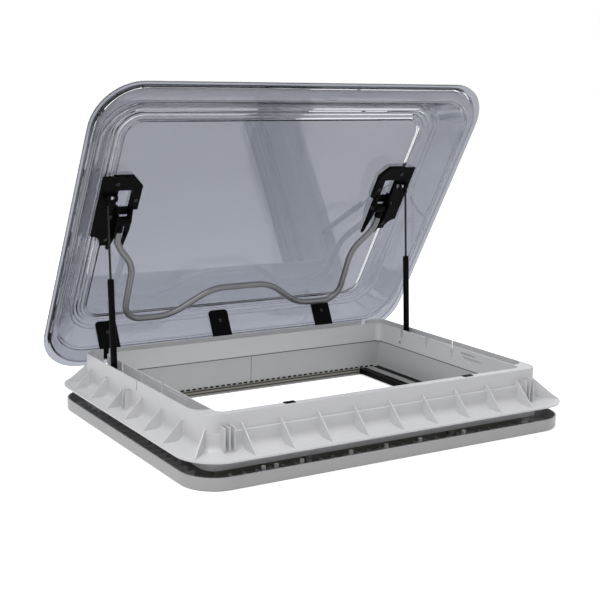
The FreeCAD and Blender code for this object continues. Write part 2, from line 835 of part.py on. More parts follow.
def make_guide_rail(name, wall, side):
    """A rail with two grooves for the blinds and a slotted strip above them."""
    body = new_body(name)
    face = wall - S.rail_depth * side
    strip = wall - S.rail_strip_depth * side
    bottom_of_strip = rail_top - S.rail_strip_height
    points = [(wall, trim_plate), (wall, rail_top), (strip, rail_top), (strip, bottom_of_strip),
              (face, bottom_of_strip)]
    for middle in (rail_top - S.rail_upper_groove, rail_top - S.rail_lower_groove):
        bottom = face + S.rail_groove_depth * side
        half = S.rail_groove / 2
        points += [(face, middle + half), (bottom, middle + half), (bottom, middle - half),
                   (face, middle - half)]
    points.append((face, trim_plate))
    pad(body, polygon_sketch(body, "YZ_Plane", 0, points), rail_end * 2, both=True)
    slots = 47
    first_slot = S.rail_slot_pitch * (-(slots - 1) / 2)
    middle = rail_top - S.rail_slot_height
    half = S.rail_slot_height / 2
    sketch = polygon_sketch(body, "XZ_Plane", -strip,
                            box_points(first_slot, S.rail_slot, middle - half, middle + half))
    slot = pocket(body, sketch, S.rail_slot_depth * 2, both=True)
    pattern(body, slot, "X_Axis", S.rail_slot_pitch, slots)


def make_end_rail(name, side):
    body = new_body(name)
    half = S.seat_gap / 2
    outline = polygon_sketch(body, "XY_Plane", trim_plate, [
        (inner_x * side, mouth_front + half), (rail_end * side, mouth_front + half),
        (rail_end * side, mouth_back - half), (inner_x * side, mouth_back - half)])
    pad(body, outline, S.rail_top)


# Blinds


def block(name, left, right, front, back, low, high):
    body = new_body(name)
    outline = polygon_sketch(body, "XY_Plane", low, [
        (left, front), (right, front), (right, back), (left, back)])
    pad(body, outline, as_size(high) - low)
    return body


def make_blind(name, groove):
    """One blind: the pull bar that runs in the rails, and its folded pack behind it."""
    middle = rail_top - groove
    front = mouth_front + S.bar_play
    back = mouth_back - S.bar_play
    pack_end = inner_x - S.cassette - S.seat_gap
    bar_end = pack_end - S.pack_length
    bar_start = bar_end - S.bar_width
    bar = block(name + "_bar", bar_start, bar_end, front, back,
                middle - S.bar_height / 2, middle + S.bar_height / 2)
    grip = polygon_sketch(bar, "XZ_Plane", 0, box_points(
        bar_start + S.bar_width / 2, S.bar_width / 2,
        middle + S.bar_height / 2 - S.bar_grip / 2, middle + S.bar_height / 2))
    pocket(bar, grip, S.cutout_short / 2, both=True)
    tab = polygon_sketch(bar, "XY_Plane", middle, [
        (bar_start + S.bar_grip, front - S.rail_groove_depth + S.bar_play * 2),
        (bar_start + S.bar_grip + S.tab_length, front - S.rail_groove_depth + S.bar_play * 2),
        (bar_start + S.bar_grip + S.tab_length, back + S.rail_groove_depth - S.bar_play * 2),
        (bar_start + S.bar_grip, back + S.rail_groove_depth - S.bar_play * 2)])
    pad(bar, tab, S.tab_height, both=True)
    block(name + "_pack", bar_end + S.seat_gap, pack_end, front + S.bar_play, back - S.bar_play,
          middle - S.pack_height / 2, middle + S.pack_height / 2)


def make_cassette():
    """The fixed holder of both packs at the +X end."""
    block("blind_cassette", inner_x - S.cassette, inner_x - S.seat_gap / 2, mouth_front + S.bar_play,
          mouth_back - S.bar_play, trim_plate + S.seat_gap * 2, rail_top - S.rail_upper_groove / 2)


# Hinges


def make_hinge_base(name, x):
    """Plate on the flange with two ears that hold the pin."""
    body = new_body(name)
    floor = S.flange_thickness
    ear_left = hinge_y - S.ear_round / 2
    outline = polygon_sketch(body, "YZ_Plane", x, [
        (base_front, floor), (base_back, floor), (base_back, S.hinge_z), (ear_left, S.hinge_z),
        (base_front, floor + S.base_plate * 2)])
    pad(body, outline, base_half * 2, both=True)
    knuckle = circle_sketch(body, "YZ_Plane", x, [(hinge_y, S.hinge_z)], S.ear_round)
    pad(body, knuckle, base_half * 2, both=True)
    gap = polygon_sketch(body, "YZ_Plane", x, [
        (base_front - S.ear, floor + S.base_plate), (base_back + S.ear, floor + S.base_plate),
        (base_back + S.ear, S.hinge_z + S.ear_round), (base_front - S.ear, S.hinge_z + S.ear_round)])
    pocket(body, gap, S.strap_width + S.ear_play * 2, both=True)
    bore = circle_sketch(body, "YZ_Plane", x, [(hinge_y, S.hinge_z)], S.hinge_pin + S.screw_play)
    pocket(body, bore, base_half * 2 + S.ear, both=True)
    half = S.base_screw_spacing / 2
    holes = circle_sketch(body, "XY_Plane", floor, [(x - half, base_screw_y), (x + half, base_screw_y)],
                          S.small_screw + S.screw_play)
    pocket(body, holes, S.base_plate * 2, backwards=True)


def make_base_screws():
    body = new_body("hinge_base_screws")
    body.AllowCompound = True
    seat = S.flange_thickness + S.base_plate
    shanks = circle_sketch(body, "XY_Plane", seat, base_screw_places(), S.small_screw)
    pad(body, shanks, seat - S.seat_gap, backwards=True)
    pad(body, circle_sketch(body, "XY_Plane", seat, base_screw_places(), S.small_head),
        S.small_head_height)


def make_hinge_pins():
    body = new_body("hinge_pins")
    body.AllowCompound = True
    for x in hinge_places:
        axis = [(hinge_y, S.hinge_z)]
        pad(body, circle_sketch(body, "YZ_Plane", x, axis, S.hinge_pin), base_half * 2 + S.pin_play,
            both=True)
        for side in (-1, 1):
            face = x + (base_half + S.pin_head_height / 2) * side
            pad(body, circle_sketch(body, "YZ_Plane", face, axis, S.pin_head), S.pin_head_height,
                both=True)


flank_y = float(shoulder_back) - float(lip_back)
flank_z = float(S.shoulder_z) - float(S.mouth_z)
strap_angle = math.degrees(math.atan2(flank_z, flank_y))
flank_length = math.hypot(flank_y, flank_z)
from_axis_y = float(lip_back) - float(hinge_y)
from_axis_z = float(S.mouth_z) - float(S.hinge_z)
flank_gap = as_size((from_axis_y * flank_z - from_axis_z * flank_y) / flank_length)
strap_pose = lid_pose * tilted(hinge_y, S.hinge_z, strap_angle)


def make_strap(name, x):
    """A flat strap on the pane's back flank, drawn along Y from the hinge axis, Z towards the room."""
    body = new_body(name)
    half = S.strap_width / 2
    under = S.seat_gap - flank_gap
    plate = rounded_sketch(body, under, x - half, x + half, -S.strap / 4, S.strap_length, S.strap_corner)
    pad(body, plate, S.strap)
    barrel = circle_sketch(body, "YZ_Plane", x, [(0, 0)], S.strap_barrel)
    pad(body, barrel, S.strap_width, both=True)
    bore = circle_sketch(body, "YZ_Plane", x, [(0, 0)], S.hinge_pin + S.pin_play)
    pocket(body, bore, S.strap_width + S.ear, both=True)
    hole = circle_sketch(body, "XY_Plane", under, [(x, S.strap_screw)], S.small_screw + S.screw_play)
    pocket(body, hole, S.strap * 2, backwards=True)
    body.Placement = strap_pose


def make_strap_screws():
    body = new_body("strap_screws")
    body.AllowCompound = True
    places = [(x, S.strap_screw) for x in hinge_places]
    under = S.seat_gap - flank_gap
    pad(body, circle_sketch(body, "XY_Plane", under, places, S.small_screw), S.strap)
    pad(body, circle_sketch(body, "XY_Plane", under + S.strap, places, S.small_head),
        S.small_head_height)
    body.Placement = strap_pose


# Lid


def dome_level(body, inset, height, corner):
    return rounded_sketch(body, height, inset - dome_x, dome_x - inset,
                          inset - dome_front, dome_back - inset, corner)


def dome_levels(body, edge, base):
    """Outlines from the rim to the crown, on a quarter ellipse."""
    levels = []
    for angle in (0, 15, 30, 45, 62, 90):
        turn = math.radians(angle)
        inset = S.dome_run * (1 - math.cos(turn)) + edge
        height = S.dome_rise * math.sin(turn) + base
        corner = S.dome_corner * (1 - 0.55 * math.sin(turn))
        levels.append(dome_level(body, inset, height, corner))
    return levels


def make_dome_outer():
    body = new_body("dome_outer")
    rim_top = S.dome_rim + S.dome_sheet
    pad(body, dome_level(body, as_size(0), S.dome_rim, S.dome_corner), S.dome_sheet)
    edge = dome_level(body, as_size(0), rim_top, S.dome_corner)
    loft(body, "AdditiveLoft", [edge] + dome_levels(body, S.dome_rim_width, rim_top + S.dome_sheet))
    pocket(body, dome_level(body, S.dome_rim_width, S.dome_rim, S.dome_corner - S.dome_rim_width / 2),
           S.dome_sheet, backwards=True)
    hollow = dome_levels(body, S.dome_rim_width + S.dome_sheet, rim_top)
    loft(body, "SubtractiveLoft", hollow)
    body.Placement = lid_pose


def pane_levels(body, thickness):
    """Outlines at the mouth, shoulder and face of the pane, moved outwards by a thickness."""
    rows = (
        (lip_x, lip_front, lip_back, S.mouth_z, S.mouth_corner, 0),
        (shoulder_x, shoulder_front, shoulder_back, S.shoulder_z, S.shoulder_corner, 0.5),
        (pane_x, pane_front, pane_back, S.pane_z, S.pane_corner, 0.8),
    )
    levels = []
    for x, front, back, z, corner, share in rows:
        levels.append(rounded_sketch(body, z + thickness * share, -x - thickness, x + thickness,
                                     -front - thickness, back + thickness, corner + thickness))
    return levels


def make_dome_inner():
    body = new_body("dome_inner")
    flange = S.mouth_z - S.dome_rim
    edge = S.dome_rim_width + S.seat_gap
    pad(body, dome_level(body, edge, S.dome_rim, S.dome_corner - S.dome_rim_width / 2), flange)
    loft(body, "AdditiveLoft", pane_levels(body, S.pane_sheet))
    mouth = rounded_sketch(body, S.dome_rim, -lip_x, lip_x, -lip_front, lip_back,
                           S.mouth_corner)
    pocket(body, mouth, flange, backwards=True)
    loft(body, "SubtractiveLoft", pane_levels(body, as_size(0)))
    notch = new_sketch(body, "XY_Plane", S.dome_rim)
    for x in hinge_places:
        half = S.strap_width / 2 + S.ear_play
        add_polygon(notch, [(x - half, lip_back - S.strap_notch), (x + half, lip_back - S.strap_notch),
                            (x + half, lip_back + S.strap_notch), (x - half, lip_back + S.strap_notch)])
    pocket(body, notch, flange, backwards=True)
    body.Placement = lid_pose


bracket_low = S.pane_z - S.bracket_drop - S.bracket_plate
bracket_top = S.pane_z - S.seat_gap


def cross_hole(body, x, depth, y, z, diameter):
    """A hole along X, as deep as given and centred on x."""
    pocket(body, circle_sketch(body, "YZ_Plane", x, [(y, z)], diameter), depth, both=True)


def make_bracket(name, side):
    """Carries the bow's pivot and the strut's stud; C-shaped in front of the pivot."""
    body = new_body(name)
    outline = [
        (bracket_inner + S.bracket_chamfer, S.bracket_front), (bracket_outer, S.bracket_front),
        (bracket_outer, S.bracket_back), (channel_x, S.bracket_back),
        (channel_x, S.window_back), (window_outer, S.window_back),
        (window_outer, window_front), (window_inner, window_front),
        (window_inner, S.window_back), (bracket_inner, S.window_back),
        (bracket_inner, S.bracket_front + S.bracket_chamfer),
    ]
    sketch = polygon_sketch(body, "XY_Plane", bracket_low, [(x * side, y) for x, y in outline])
    pad(body, sketch, S.bracket_plate)
    land = [(min(x, bracket_land, key=float), y) for x, y in outline]
    sketch = polygon_sketch(body, "XY_Plane", bracket_low, [(x * side, y) for x, y in land])
    pad(body, sketch, bracket_top - bracket_low)
    for x, depth in ((cheek_x, S.inner_cheek_depth), (channel_x, S.bracket_cheek_depth)):
        low = bracket_top - depth
        knee = depth / 2
        cheek = polygon_sketch(body, "YZ_Plane", (x + S.bracket_cheek / 2) * side, [
            (S.bracket_cheek_front, bracket_top), (S.bracket_cheek_back, bracket_top),
            (S.bracket_cheek_back, bracket_top - knee / 2), (S.bow_pivot_y + knee * 2, low),
            (S.bow_pivot_y - knee, low), (S.bracket_cheek_front, bracket_low - knee / 4)])
        pad(body, cheek, S.bracket_cheek, both=True)
    near = cheek_x + S.bracket_cheek / 2
    far = channel_x + S.bracket_cheek / 2
    bridge_end = S.bridge_back - S.bridge_length
    bridge = [(near, S.bridge_back), (far, S.bridge_back), (far, bridge_end), (near, bridge_end)]
    pad(body, polygon_sketch(body, "XY_Plane", bracket_top - S.bridge, [(x * side, y) for x, y in bridge]),
        S.bridge)
    lug = [
        (S.stud_y - S.stud_lug_width / 2, bracket_low + S.bracket_plate / 2),
        (S.stud_y + S.stud_lug_width / 2, bracket_low + S.bracket_plate / 2),
        (S.stud_y + S.stud_lug, S.stud_z - S.stud_lug_width / 2),
        (S.stud_y - S.stud_lug, S.stud_z - S.stud_lug_width / 2),
    ]
    pad(body, polygon_sketch(body, "YZ_Plane", (stud_lug_x + S.stud_lug / 2) * side, lug),
        S.stud_lug, both=True)
    scallop = circle_sketch(body, "XY_Plane", bracket_top,
                            [(bracket_outer * side, S.bracket_back)], S.scallop * 2)
    pocket(body, scallop, bracket_top - bracket_low)
    cross_hole(body, stud_lug_x * side, S.stud_lug * 4, S.stud_y, S.stud_z,
             S.stud_shank + S.screw_play)
    cross_hole(body, (cheek_x + channel_x) / 2 * side, channel_x - cheek_x + S.ear * 2,
             S.bow_pivot_y, S.bow_pivot_z, S.bow_pin + S.screw_play)
    holes = circle_sketch(body, "XY_Plane", bracket_top, bracket_screw_places(side),
                          S.small_screw + S.screw_play)
    pocket(body, holes, bracket_top - bracket_low)
    body.Placement = lid_pose


def bracket_screw_places(side):
    across = bracket_land - S.small_head
    inner = (bracket_inner + window_inner) / 2
    front = (S.bracket_front + window_front) / 2
    places = [(across, front), (across, S.window_back + S.small_head * 2),
              (across, S.bracket_back - S.small_head * 2), (inner, (window_front + S.window_back) / 2)]
    return [(x * side, y) for x, y in places]


def make_bracket_screws():
    body = new_body("bracket_screws")
    body.AllowCompound = True
    places = bracket_screw_places(-1) + bracket_screw_places(1)
    pad(body, circle_sketch(body, "XY_Plane", bracket_low, places, S.small_screw),
        bracket_top - bracket_low)
    pad(body, circle_sketch(body, "XY_Plane", bracket_low, places, S.small_head),
        S.small_head_height, backwards=True)
    body.Placement = lid_pose


def make_ball_studs():
    """A turned stud through each bracket's lug; its ball meets the socket of the gas strut."""
    body = new_body("strut_ball_studs")
    body.AllowCompound = True
    ball = S.stud_ball / 2
    shank = S.stud_shank / 2
    head = stud_lug_x - S.pin_head_height
    centre = strut_x - S.strut_eye_width / 2 - S.seat_gap - ball
    neck = centre - ball * math.sqrt(1 - float(shank / ball) ** 2)
    for side in (-1, 1):
        sketch = new_sketch(body, "XY_Plane", S.stud_z)
        sketch.setExpression("AttachmentOffset.Base.y", S.stud_y.text)
        corners = [(centre + ball, 0), (head, 0), (head, ball), (stud_lug_x, ball),
                   (stud_lug_x, shank), (neck, shank)]
        corners = [(x * side, as_size(y)) for x, y in corners]
        points = [FreeCAD.Vector(float(x), float(y), 0) for x, y in corners]
        lines = [sketch.addGeometry(Part.LineSegment(a, b), False) for a, b in zip(points, points[1:])]
        for line, corner in zip(lines, corners):
            pin_point(sketch, line, 1, *corner)
        for line, following in zip(lines, lines[1:]):
            sketch.addConstraint(Sketcher.Constraint("Coincident", line, 2, following, 1))
        top = FreeCAD.Vector(float(centre) * side, float(ball), 0)
        arc = sketch.addGeometry(Part.Arc(points[0], top, points[-1]), False)
        near = 1 if sketch.getPoint(arc, 1).distanceToPoint(points[0]) < 0.001 else 2
        sketch.addConstraint(Sketcher.Constraint("Coincident", arc, near, lines[0], 1))
        sketch.addConstraint(Sketcher.Constraint("Coincident", arc, 3 - near, lines[-1], 2))
        sketch.addConstraint(Sketcher.Constraint("PointOnObject", arc, 3, lines[0]))
        tie = sketch.addConstraint(Sketcher.Constraint("Radius", arc, float(ball)))
        sketch.setExpression("Constraints[%d]" % tie, ball.text)
        pin_last = sketch.addConstraint(Sketcher.Constraint("DistanceY", -1, 1, lines[-1], 2, float(shank)))
        sketch.setExpression("Constraints[%d]" % pin_last, shank.text)
        turned = body.newObject("PartDesign::Revolution", "strut_ball_studs_Revolution")
        turned.Profile = sketch
        turned.ReferenceAxis = (sketch, ["H_Axis"])
        turned.Angle = 360
        body.Tip = turned
    body.Placement = lid_pose


# Bow handle

bow_pose = lid_pose * tilted(S.bow_pivot_y, S.bow_pivot_z, -float(S.bow_tilt))


def bent_path(sketch, corners, bends):
    """A line through the corners with a bend at each inner one; dotted guide lines fix its place."""
    points = [FreeCAD.Vector(float(x), float(y), 0) for x, y in corners]
    guides = []
    for i in range(len(points) - 1):
        guides.append(sketch.addGeometry(Part.LineSegment(points[i], points[i + 1]), True))
        pin_point(sketch, guides[i], 1, *corners[i])
        if i:
            sketch.addConstraint(Sketcher.Constraint("Coincident", guides[i - 1], 2, guides[i], 1))
    pin_point(sketch, guides[-1], 2, *corners[-1])
    starts = [points[0]]
    ends = []
    arcs = []
    for i in range(1, len(points) - 1):
        into = (points[i] - points[i - 1]).normalize()
        out = (points[i + 1] - points[i]).normalize()
        radius = float(bends[i - 1])
        half_turn = into.getAngle(out) / 2
        back_off = radius * math.tan(half_turn)
        first = points[i] - into * back_off
        last = points[i] + out * back_off
        inward = (out - into).normalize()
        centre = points[i] + inward * (radius / math.cos(half_turn))
        arcs.append(Part.Arc(first, centre - inward * radius, last))
        ends.append(first)
        starts.append(last)
    ends.append(points[-1])
    lines = [sketch.addGeometry(Part.LineSegment(a, b), False) for a, b in zip(starts, ends)]
    for line, guide in zip(lines, guides):
        for point in (1, 2):
            at_start = line == lines[0] and point == 1
            at_end = line == lines[-1] and point == 2
            if not at_start and not at_end:
                sketch.addConstraint(Sketcher.Constraint("PointOnObject", line, point, guide))
    sketch.addConstraint(Sketcher.Constraint("Coincident", lines[0], 1, guides[0], 1))
    sketch.addConstraint(Sketcher.Constraint("Coincident", lines[-1], 2, guides[-1], 2))
    for i, shape in enumerate(arcs):
        arc = sketch.addGeometry(shape, False)
        near = sketch.getPoint(lines[i], 2)
        order = (1, 2) if sketch.getPoint(arc, 1).distanceToPoint(near) < 0.001 else (2, 1)
        sketch.addConstraint(Sketcher.Constraint("Tangent", lines[i], 2, arc, order[0]))
        sketch.addConstraint(Sketcher.Constraint("Tangent", arc, order[1], lines[i + 1], 1))
        tie = sketch.addConstraint(Sketcher.Constraint("Radius", arc, float(bends[i])))
        sketch.setExpression("Constraints[%d]" % tie, bends[i].text)


def make_bow():
    """A round bar bent into a bow, drawn flat from the pivot axis along Y."""
    body = new_body("bow_handle")
    start = S.bow_barrel / 2 + S.bow_barrel_play
    half = [
        (bow_leg_x, start), (bow_leg_x, S.bow_leg), (bow_waist_x, S.bow_waist_start),
        (bow_waist_x, S.bow_foot), (S.bow_hump_start, S.bow_foot), (S.bow_hump_end, S.bow_hump),
    ]
    bends = [S.bow_bend] * 3 + [S.bow_hump_bend] * 2
    path = new_sketch(body, "XY_Plane", 0)
    bent_path(path, half + [(-x, y) for x, y in reversed(half)], bends + bends[::-1])
    profile = circle_sketch(body, "XZ_Plane", -start, [(bow_leg_x, 0)], S.bow_tube)
    pipe = body.newObject("PartDesign::AdditivePipe", "bow_handle_Pipe")
    pipe.Profile = profile
    pipe.Spine = (path, [])
    body.Tip = pipe
    body.Placement = bow_pose


def make_bow_socket(name, side):
    """The barrel that turns on the bracket's pin, with a sleeve for the bow."""
    body = new_body(name)
    left = cheek_x + S.bracket_cheek + S.bow_barrel_play
    right = channel_x - S.bow_barrel_play / 2
    middle = (left + right) / 2 * side
    pad(body, circle_sketch(body, "YZ_Plane", middle, [(0, 0)], S.bow_barrel), right - left, both=True)
    root = S.bow_barrel_play * 2
    sleeve = circle_sketch(body, "XZ_Plane", -root, [(bow_leg_x * side, 0)], S.bow_sleeve)
    pad(body, sleeve, S.bow_sleeve_length - root, backwards=True)
    start = S.bow_barrel / 2 + S.bow_barrel_play / 2
    hole = circle_sketch(body, "XZ_Plane", -start, [(bow_leg_x * side, 0)], S.bow_tube + S.screw_play)
    pocket(body, hole, S.bow_sleeve_length, backwards=False)
    bore = circle_sketch(body, "YZ_Plane", middle, [(0, 0)], S.bow_pin + S.pin_play)
    pocket(body, bore, right - left + S.ear, both=True)
    body.Placement = bow_pose


def make_bow_pins():
    body = new_body("bow_pins")
    body.AllowCompound = True
    axis = [(S.bow_pivot_y, S.bow_pivot_z)]
    left = cheek_x
    right = channel_x + S.bracket_cheek
    for side in (-1, 1):
        pad(body, circle_sketch(body, "YZ_Plane", (left + right) / 2 * side, axis, S.bow_pin),
            right - left, both=True)
        head = circle_sketch(body, "YZ_Plane", (left - S.pin_head_height / 2) * side, axis, S.pin_head)
        pad(body, head, S.pin_head_height, both=True)
    body.Placement = lid_pose


def make_rim_clip(name, side):
    """A low hook on the inner edge of the front band, where the bow lands when the lid is shut."""
    body = new_body(name)
    lip = inner_front + S.rim_clip_lip
    top = S.rim_height + S.rim_clip_height
    points = [
        (inner_front - S.rim_clip_reach, S.rim_height), (inner_front + S.seat_gap, S.rim_height),
        (inner_front + S.seat_gap, S.rim_height - S.rim_clip_drop),
        (lip, S.rim_height - S.rim_clip_drop), (lip, top - S.rim_clip_lip),
        (inner_front, top), (inner_front - S.rim_clip_reach, top - S.rim_clip_lip),
    ]
    pad(body, polygon_sketch(body, "YZ_Plane", S.rim_clip_x * side, points), S.rim_clip, both=True)


# Gas struts

stud_open = lid_pose.multVec(FreeCAD.Vector(0, float(S.stud_y), float(S.stud_z)))
rise = stud_open.z - float(S.foot_z)
run = stud_open.y - float(S.foot_y)
strut_length = as_size(math.hypot(run, rise))
strut_pose = tilted(S.foot_y, S.foot_z, -math.degrees(math.atan2(run, rise)))


def eye(body, x, height, width, outer, inner):
    """A round eye across the strut, with a bore for its pin."""
    pad(body, circle_sketch(body, "YZ_Plane", x, [(0, height)], outer), width, both=True)
    pocket(body, circle_sketch(body, "YZ_Plane", x, [(0, height)], inner), width * 2, both=True)


def make_strut_cylinder(name, x):
    body = new_body(name)
    centre = [(x, 0)]
    pad(body, circle_sketch(body, "XY_Plane", S.strut_tube_start, centre, S.strut_tube),
        S.strut_tube_length - S.strut_tube_start)
    bore = circle_sketch(body, "XY_Plane", S.strut_tube_length, centre, S.strut_bore)
    pocket(body, bore, S.strut_tube_length - S.strut_bore_bottom)
    body.Placement = strut_pose


def make_strut_foot(name, x):
    """The end fitting that turns on the pin in the gutter."""
    body = new_body(name)
    neck = circle_sketch(body, "XY_Plane", S.strut_eye / 4, [(x, 0)], S.strut_neck)
    pad(body, neck, S.strut_tube_start - S.strut_eye / 4)
    eye(body, x, as_size(0), S.strut_eye_width, S.strut_eye, S.foot_pin + S.pin_play)
    body.Placement = strut_pose


def make_strut_rod(name, x):
    body = new_body(name)
    start = S.strut_tube_length - S.strut_overlap
    shaft = circle_sketch(body, "XY_Plane", start, [(x, 0)], S.strut_rod)
    pad(body, shaft, strut_length - S.strut_socket_length - start)
    body.Placement = strut_pose


def make_strut_socket(name, x):
    """The end fitting on the rod; it meets the ball stud of the bracket."""
    body = new_body(name)
    low = strut_length - S.strut_socket_length
    pad(body, circle_sketch(body, "XY_Plane", low, [(x, 0)], S.strut_collar), S.strut_socket_length)
    head = circle_sketch(body, "YZ_Plane", x, [(0, strut_length)], S.strut_socket)
    pad(body, head, S.strut_eye_width, both=True)
    body.Placement = strut_pose


def make_foot_pins():
    body = new_body("strut_foot_pins")
    body.AllowCompound = True
    axis = [(S.foot_y, S.foot_z)]
    middle = (wall_x + inner_x) / 2
    for side in (-1, 1):
        pad(body, circle_sketch(body, "YZ_Plane", middle * side, axis, S.foot_pin),
            wall_x - inner_x, both=True)
        head = circle_sketch(body, "YZ_Plane", (wall_x + S.pin_head_height / 2) * side, axis, S.pin_head)
        pad(body, head, S.pin_head_height, both=True)


make_roof_frame()
make_ceiling_trim()
make_trim_screws()
make_guide_rail("guide_rail_back", rail_back, 1)
make_guide_rail("guide_rail_front", rail_front, -1)
make_cassette()
make_blind("flyscreen", S.rail_upper_groove)
make_blind("blackout", S.rail_lower_groove)
for place, x in zip(("left", "middle", "right"), hinge_places):
    make_hinge_base("hinge_base_" + place, x)
    make_strap("hinge_strap_" + place, x)
make_base_screws()
make_hinge_pins()
make_strap_screws()
make_dome_outer()
make_dome_inner()
make_bracket_screws()
make_ball_studs()
make_bow()
make_bow_pins()
make_foot_pins()
for place, side in (("left", -1), ("right", 1)):
    make_liner("liner_" + place, side)
    make_end_rail("end_rail_" + place, side)
    make_bracket("bracket_" + place, side)
    make_bow_socket("bow_socket_" + place, side)
    make_rim_clip("rim_clip_" + place, side)
    make_strut_cylinder("strut_cylinder_" + place, strut_x * side)
    make_strut_foot("strut_foot_" + place, strut_x * side)
    make_strut_rod("strut_rod_" + place, strut_x * side)
    make_strut_socket("strut_socket_" + place, strut_x * side)

doc.recompute()
for feature in doc.Objects:
    if "Invalid" in feature.State or "Error" in feature.State:
        raise RuntimeError("%s is %s" % (feature.Name, feature.State))
for body in PARTS:
    if body.Shape.isNull() or not body.Shape.isValid() or not body.Shape.Solids:
        raise RuntimeError(body.Label + " has no valid solid")
    body.Shape.exportStep("parts/%s.step" % body.Label)
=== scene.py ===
import bpy
import math
from mathutils import Matrix, Vector


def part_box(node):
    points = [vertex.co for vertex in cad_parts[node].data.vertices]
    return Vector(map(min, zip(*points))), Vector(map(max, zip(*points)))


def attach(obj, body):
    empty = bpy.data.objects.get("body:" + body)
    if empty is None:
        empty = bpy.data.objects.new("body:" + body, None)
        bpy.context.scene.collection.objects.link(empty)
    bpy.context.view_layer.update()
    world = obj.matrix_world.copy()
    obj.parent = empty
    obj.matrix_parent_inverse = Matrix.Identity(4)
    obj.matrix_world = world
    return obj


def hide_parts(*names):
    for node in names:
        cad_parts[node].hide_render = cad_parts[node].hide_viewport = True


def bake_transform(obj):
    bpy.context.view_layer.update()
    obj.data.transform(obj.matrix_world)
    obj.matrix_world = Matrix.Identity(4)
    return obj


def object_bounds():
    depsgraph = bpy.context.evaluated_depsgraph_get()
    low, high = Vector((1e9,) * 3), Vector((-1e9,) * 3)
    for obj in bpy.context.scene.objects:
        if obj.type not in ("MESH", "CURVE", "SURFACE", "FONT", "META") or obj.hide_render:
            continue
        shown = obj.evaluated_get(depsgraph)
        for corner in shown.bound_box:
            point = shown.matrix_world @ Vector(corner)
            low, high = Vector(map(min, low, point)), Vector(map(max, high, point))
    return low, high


# A hinged roof light for a caravan, standing open on its gas struts.
# Metres, in the frame of the CAD: origin in the middle of the roof cut-out, hinge on +Y, Z up.

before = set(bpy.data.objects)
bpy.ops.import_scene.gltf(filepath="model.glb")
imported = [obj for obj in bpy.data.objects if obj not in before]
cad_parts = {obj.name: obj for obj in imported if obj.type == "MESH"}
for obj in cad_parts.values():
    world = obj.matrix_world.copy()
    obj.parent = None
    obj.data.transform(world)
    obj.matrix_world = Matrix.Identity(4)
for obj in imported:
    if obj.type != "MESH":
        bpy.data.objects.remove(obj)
cad_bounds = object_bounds()

# The lid's pieces are drawn shut and swung open about the hinge, as the photograph shows it
HINGE = Vector((0.0, 0.280, 0.038))
OPEN_ANGLE = math.radians(61.15)
OPENING = Matrix.Rotation(-OPEN_ANGLE, 4, "X")
LID = Matrix.Translation(HINGE) @ OPENING @ Matrix.Translation(-HINGE)

# Colours, as the shader takes them
FRAME_GREY = (0.638, 0.640, 0.652)
TRIM_GREY = (0.395, 0.395, 0.402)
LINER_GREY = (0.52, 0.525, 0.525)
# Painted light: the studs' near white stands for bright holes in the trim's hollow
STUD_PAINTED_LIGHT = (0.93, 0.93, 0.92)
SEAM_GREY = (0.12, 0.12, 0.12)
RAIL_BEIGE = (0.26, 0.25, 0.22)
BLACK = (0.004, 0.004, 0.0042)
STRUT_BLACK = (0.003, 0.003, 0.0032)
STEEL = (0.42, 0.42, 0.42)
DARK_STEEL = (0.035, 0.035, 0.036)
ROD_STEEL = (0.012, 0.012, 0.013)
BOW_GREY = (0.215, 0.218, 0.225)
SMOKED = (0.325, 0.34, 0.388)
CLEAR = (0.70, 0.71, 0.735)
FLYSCREEN = (0.62, 0.62, 0.62)
BLACKOUT = (0.70, 0.70, 0.70)
FLOOR_WHITE = (0.90, 0.90, 0.90)
LIGHT_WHITE = (1.0, 1.0, 1.0)


# Node helpers


def feed(tree, node, inputs):
    """Gives a node's inputs their values. Another node's output is linked instead."""
    for key, value in inputs.items():
        if isinstance(value, bpy.types.NodeSocket):
            tree.links.new(value, node.inputs[key])
        else:
            node.inputs[key].default_value = value


def add_node(tree, kind, inputs=None, **settings):
    """A new node with its settings and its inputs."""
    node = tree.nodes.new(kind)
    for name, value in settings.items():
        setattr(node, name, value)
    feed(tree, node, inputs or {})
    return node


def calculate(tree, operation, *values):
    """The result of a sum on numbers or on other nodes' outputs."""
    return add_node(tree, "ShaderNodeMath", dict(enumerate(values)), operation=operation).outputs[0]


def new_tree(kind, name, inputs, outputs):
    """A node group with named sockets. Gives the group, its given inputs and its results."""
    tree = bpy.data.node_groups.new(name, kind)
    for direction, sockets in (("INPUT", inputs), ("OUTPUT", outputs)):
        for label, socket in sockets.items():
            tree.interface.new_socket(label, in_out=direction, socket_type="NodeSocket" + socket)
    given = tree.nodes.new("NodeGroupInput")
    result = tree.nodes.new("NodeGroupOutput")
    return tree, given.outputs, result


def new_material(name):
    """A material with a plain shader. Gives the material, its node tree and the shader."""
    material = bpy.data.materials.new(name)
    material.use_nodes = True
    tree = material.node_tree
    return material, tree, tree.nodes["Principled BSDF"]


def own_place(tree):
    """Where a point lies, in metres, the same in every pose."""
    return add_node(tree, "ShaderNodeTexCoord").outputs["Object"]


def mix_colours(tree, share, low, high):
    """A colour that goes from low to high with the share."""
    inputs = {"Factor": share, "A": low, "B": high}
    return add_node(tree, "ShaderNodeMix", inputs, data_type="RGBA").outputs["Result"]


def opaque(colour, share=1.0):
    """A colour as a socket takes it, darkened or lightened by a share."""
    return (*[c * share for c in colour], 1.0)


# Moulded plastic, painted metal and bare metal

# Slow change of colour and gloss over the surface: its scale, detail, depth of colour and of gloss
DRIFT_SCALE = 9.0
DRIFT_DETAIL = 4.0
DRIFT_COLOUR = 0.05
DRIFT_GLOSS = 0.25
NOISE_MIDDLE = 0.5
# Fine grain of the mould: its scale, detail and how deep the bump is
GRAIN_SCALE = 900.0
GRAIN_DETAIL = 2.0
GRAIN_BUMP = 0.0002


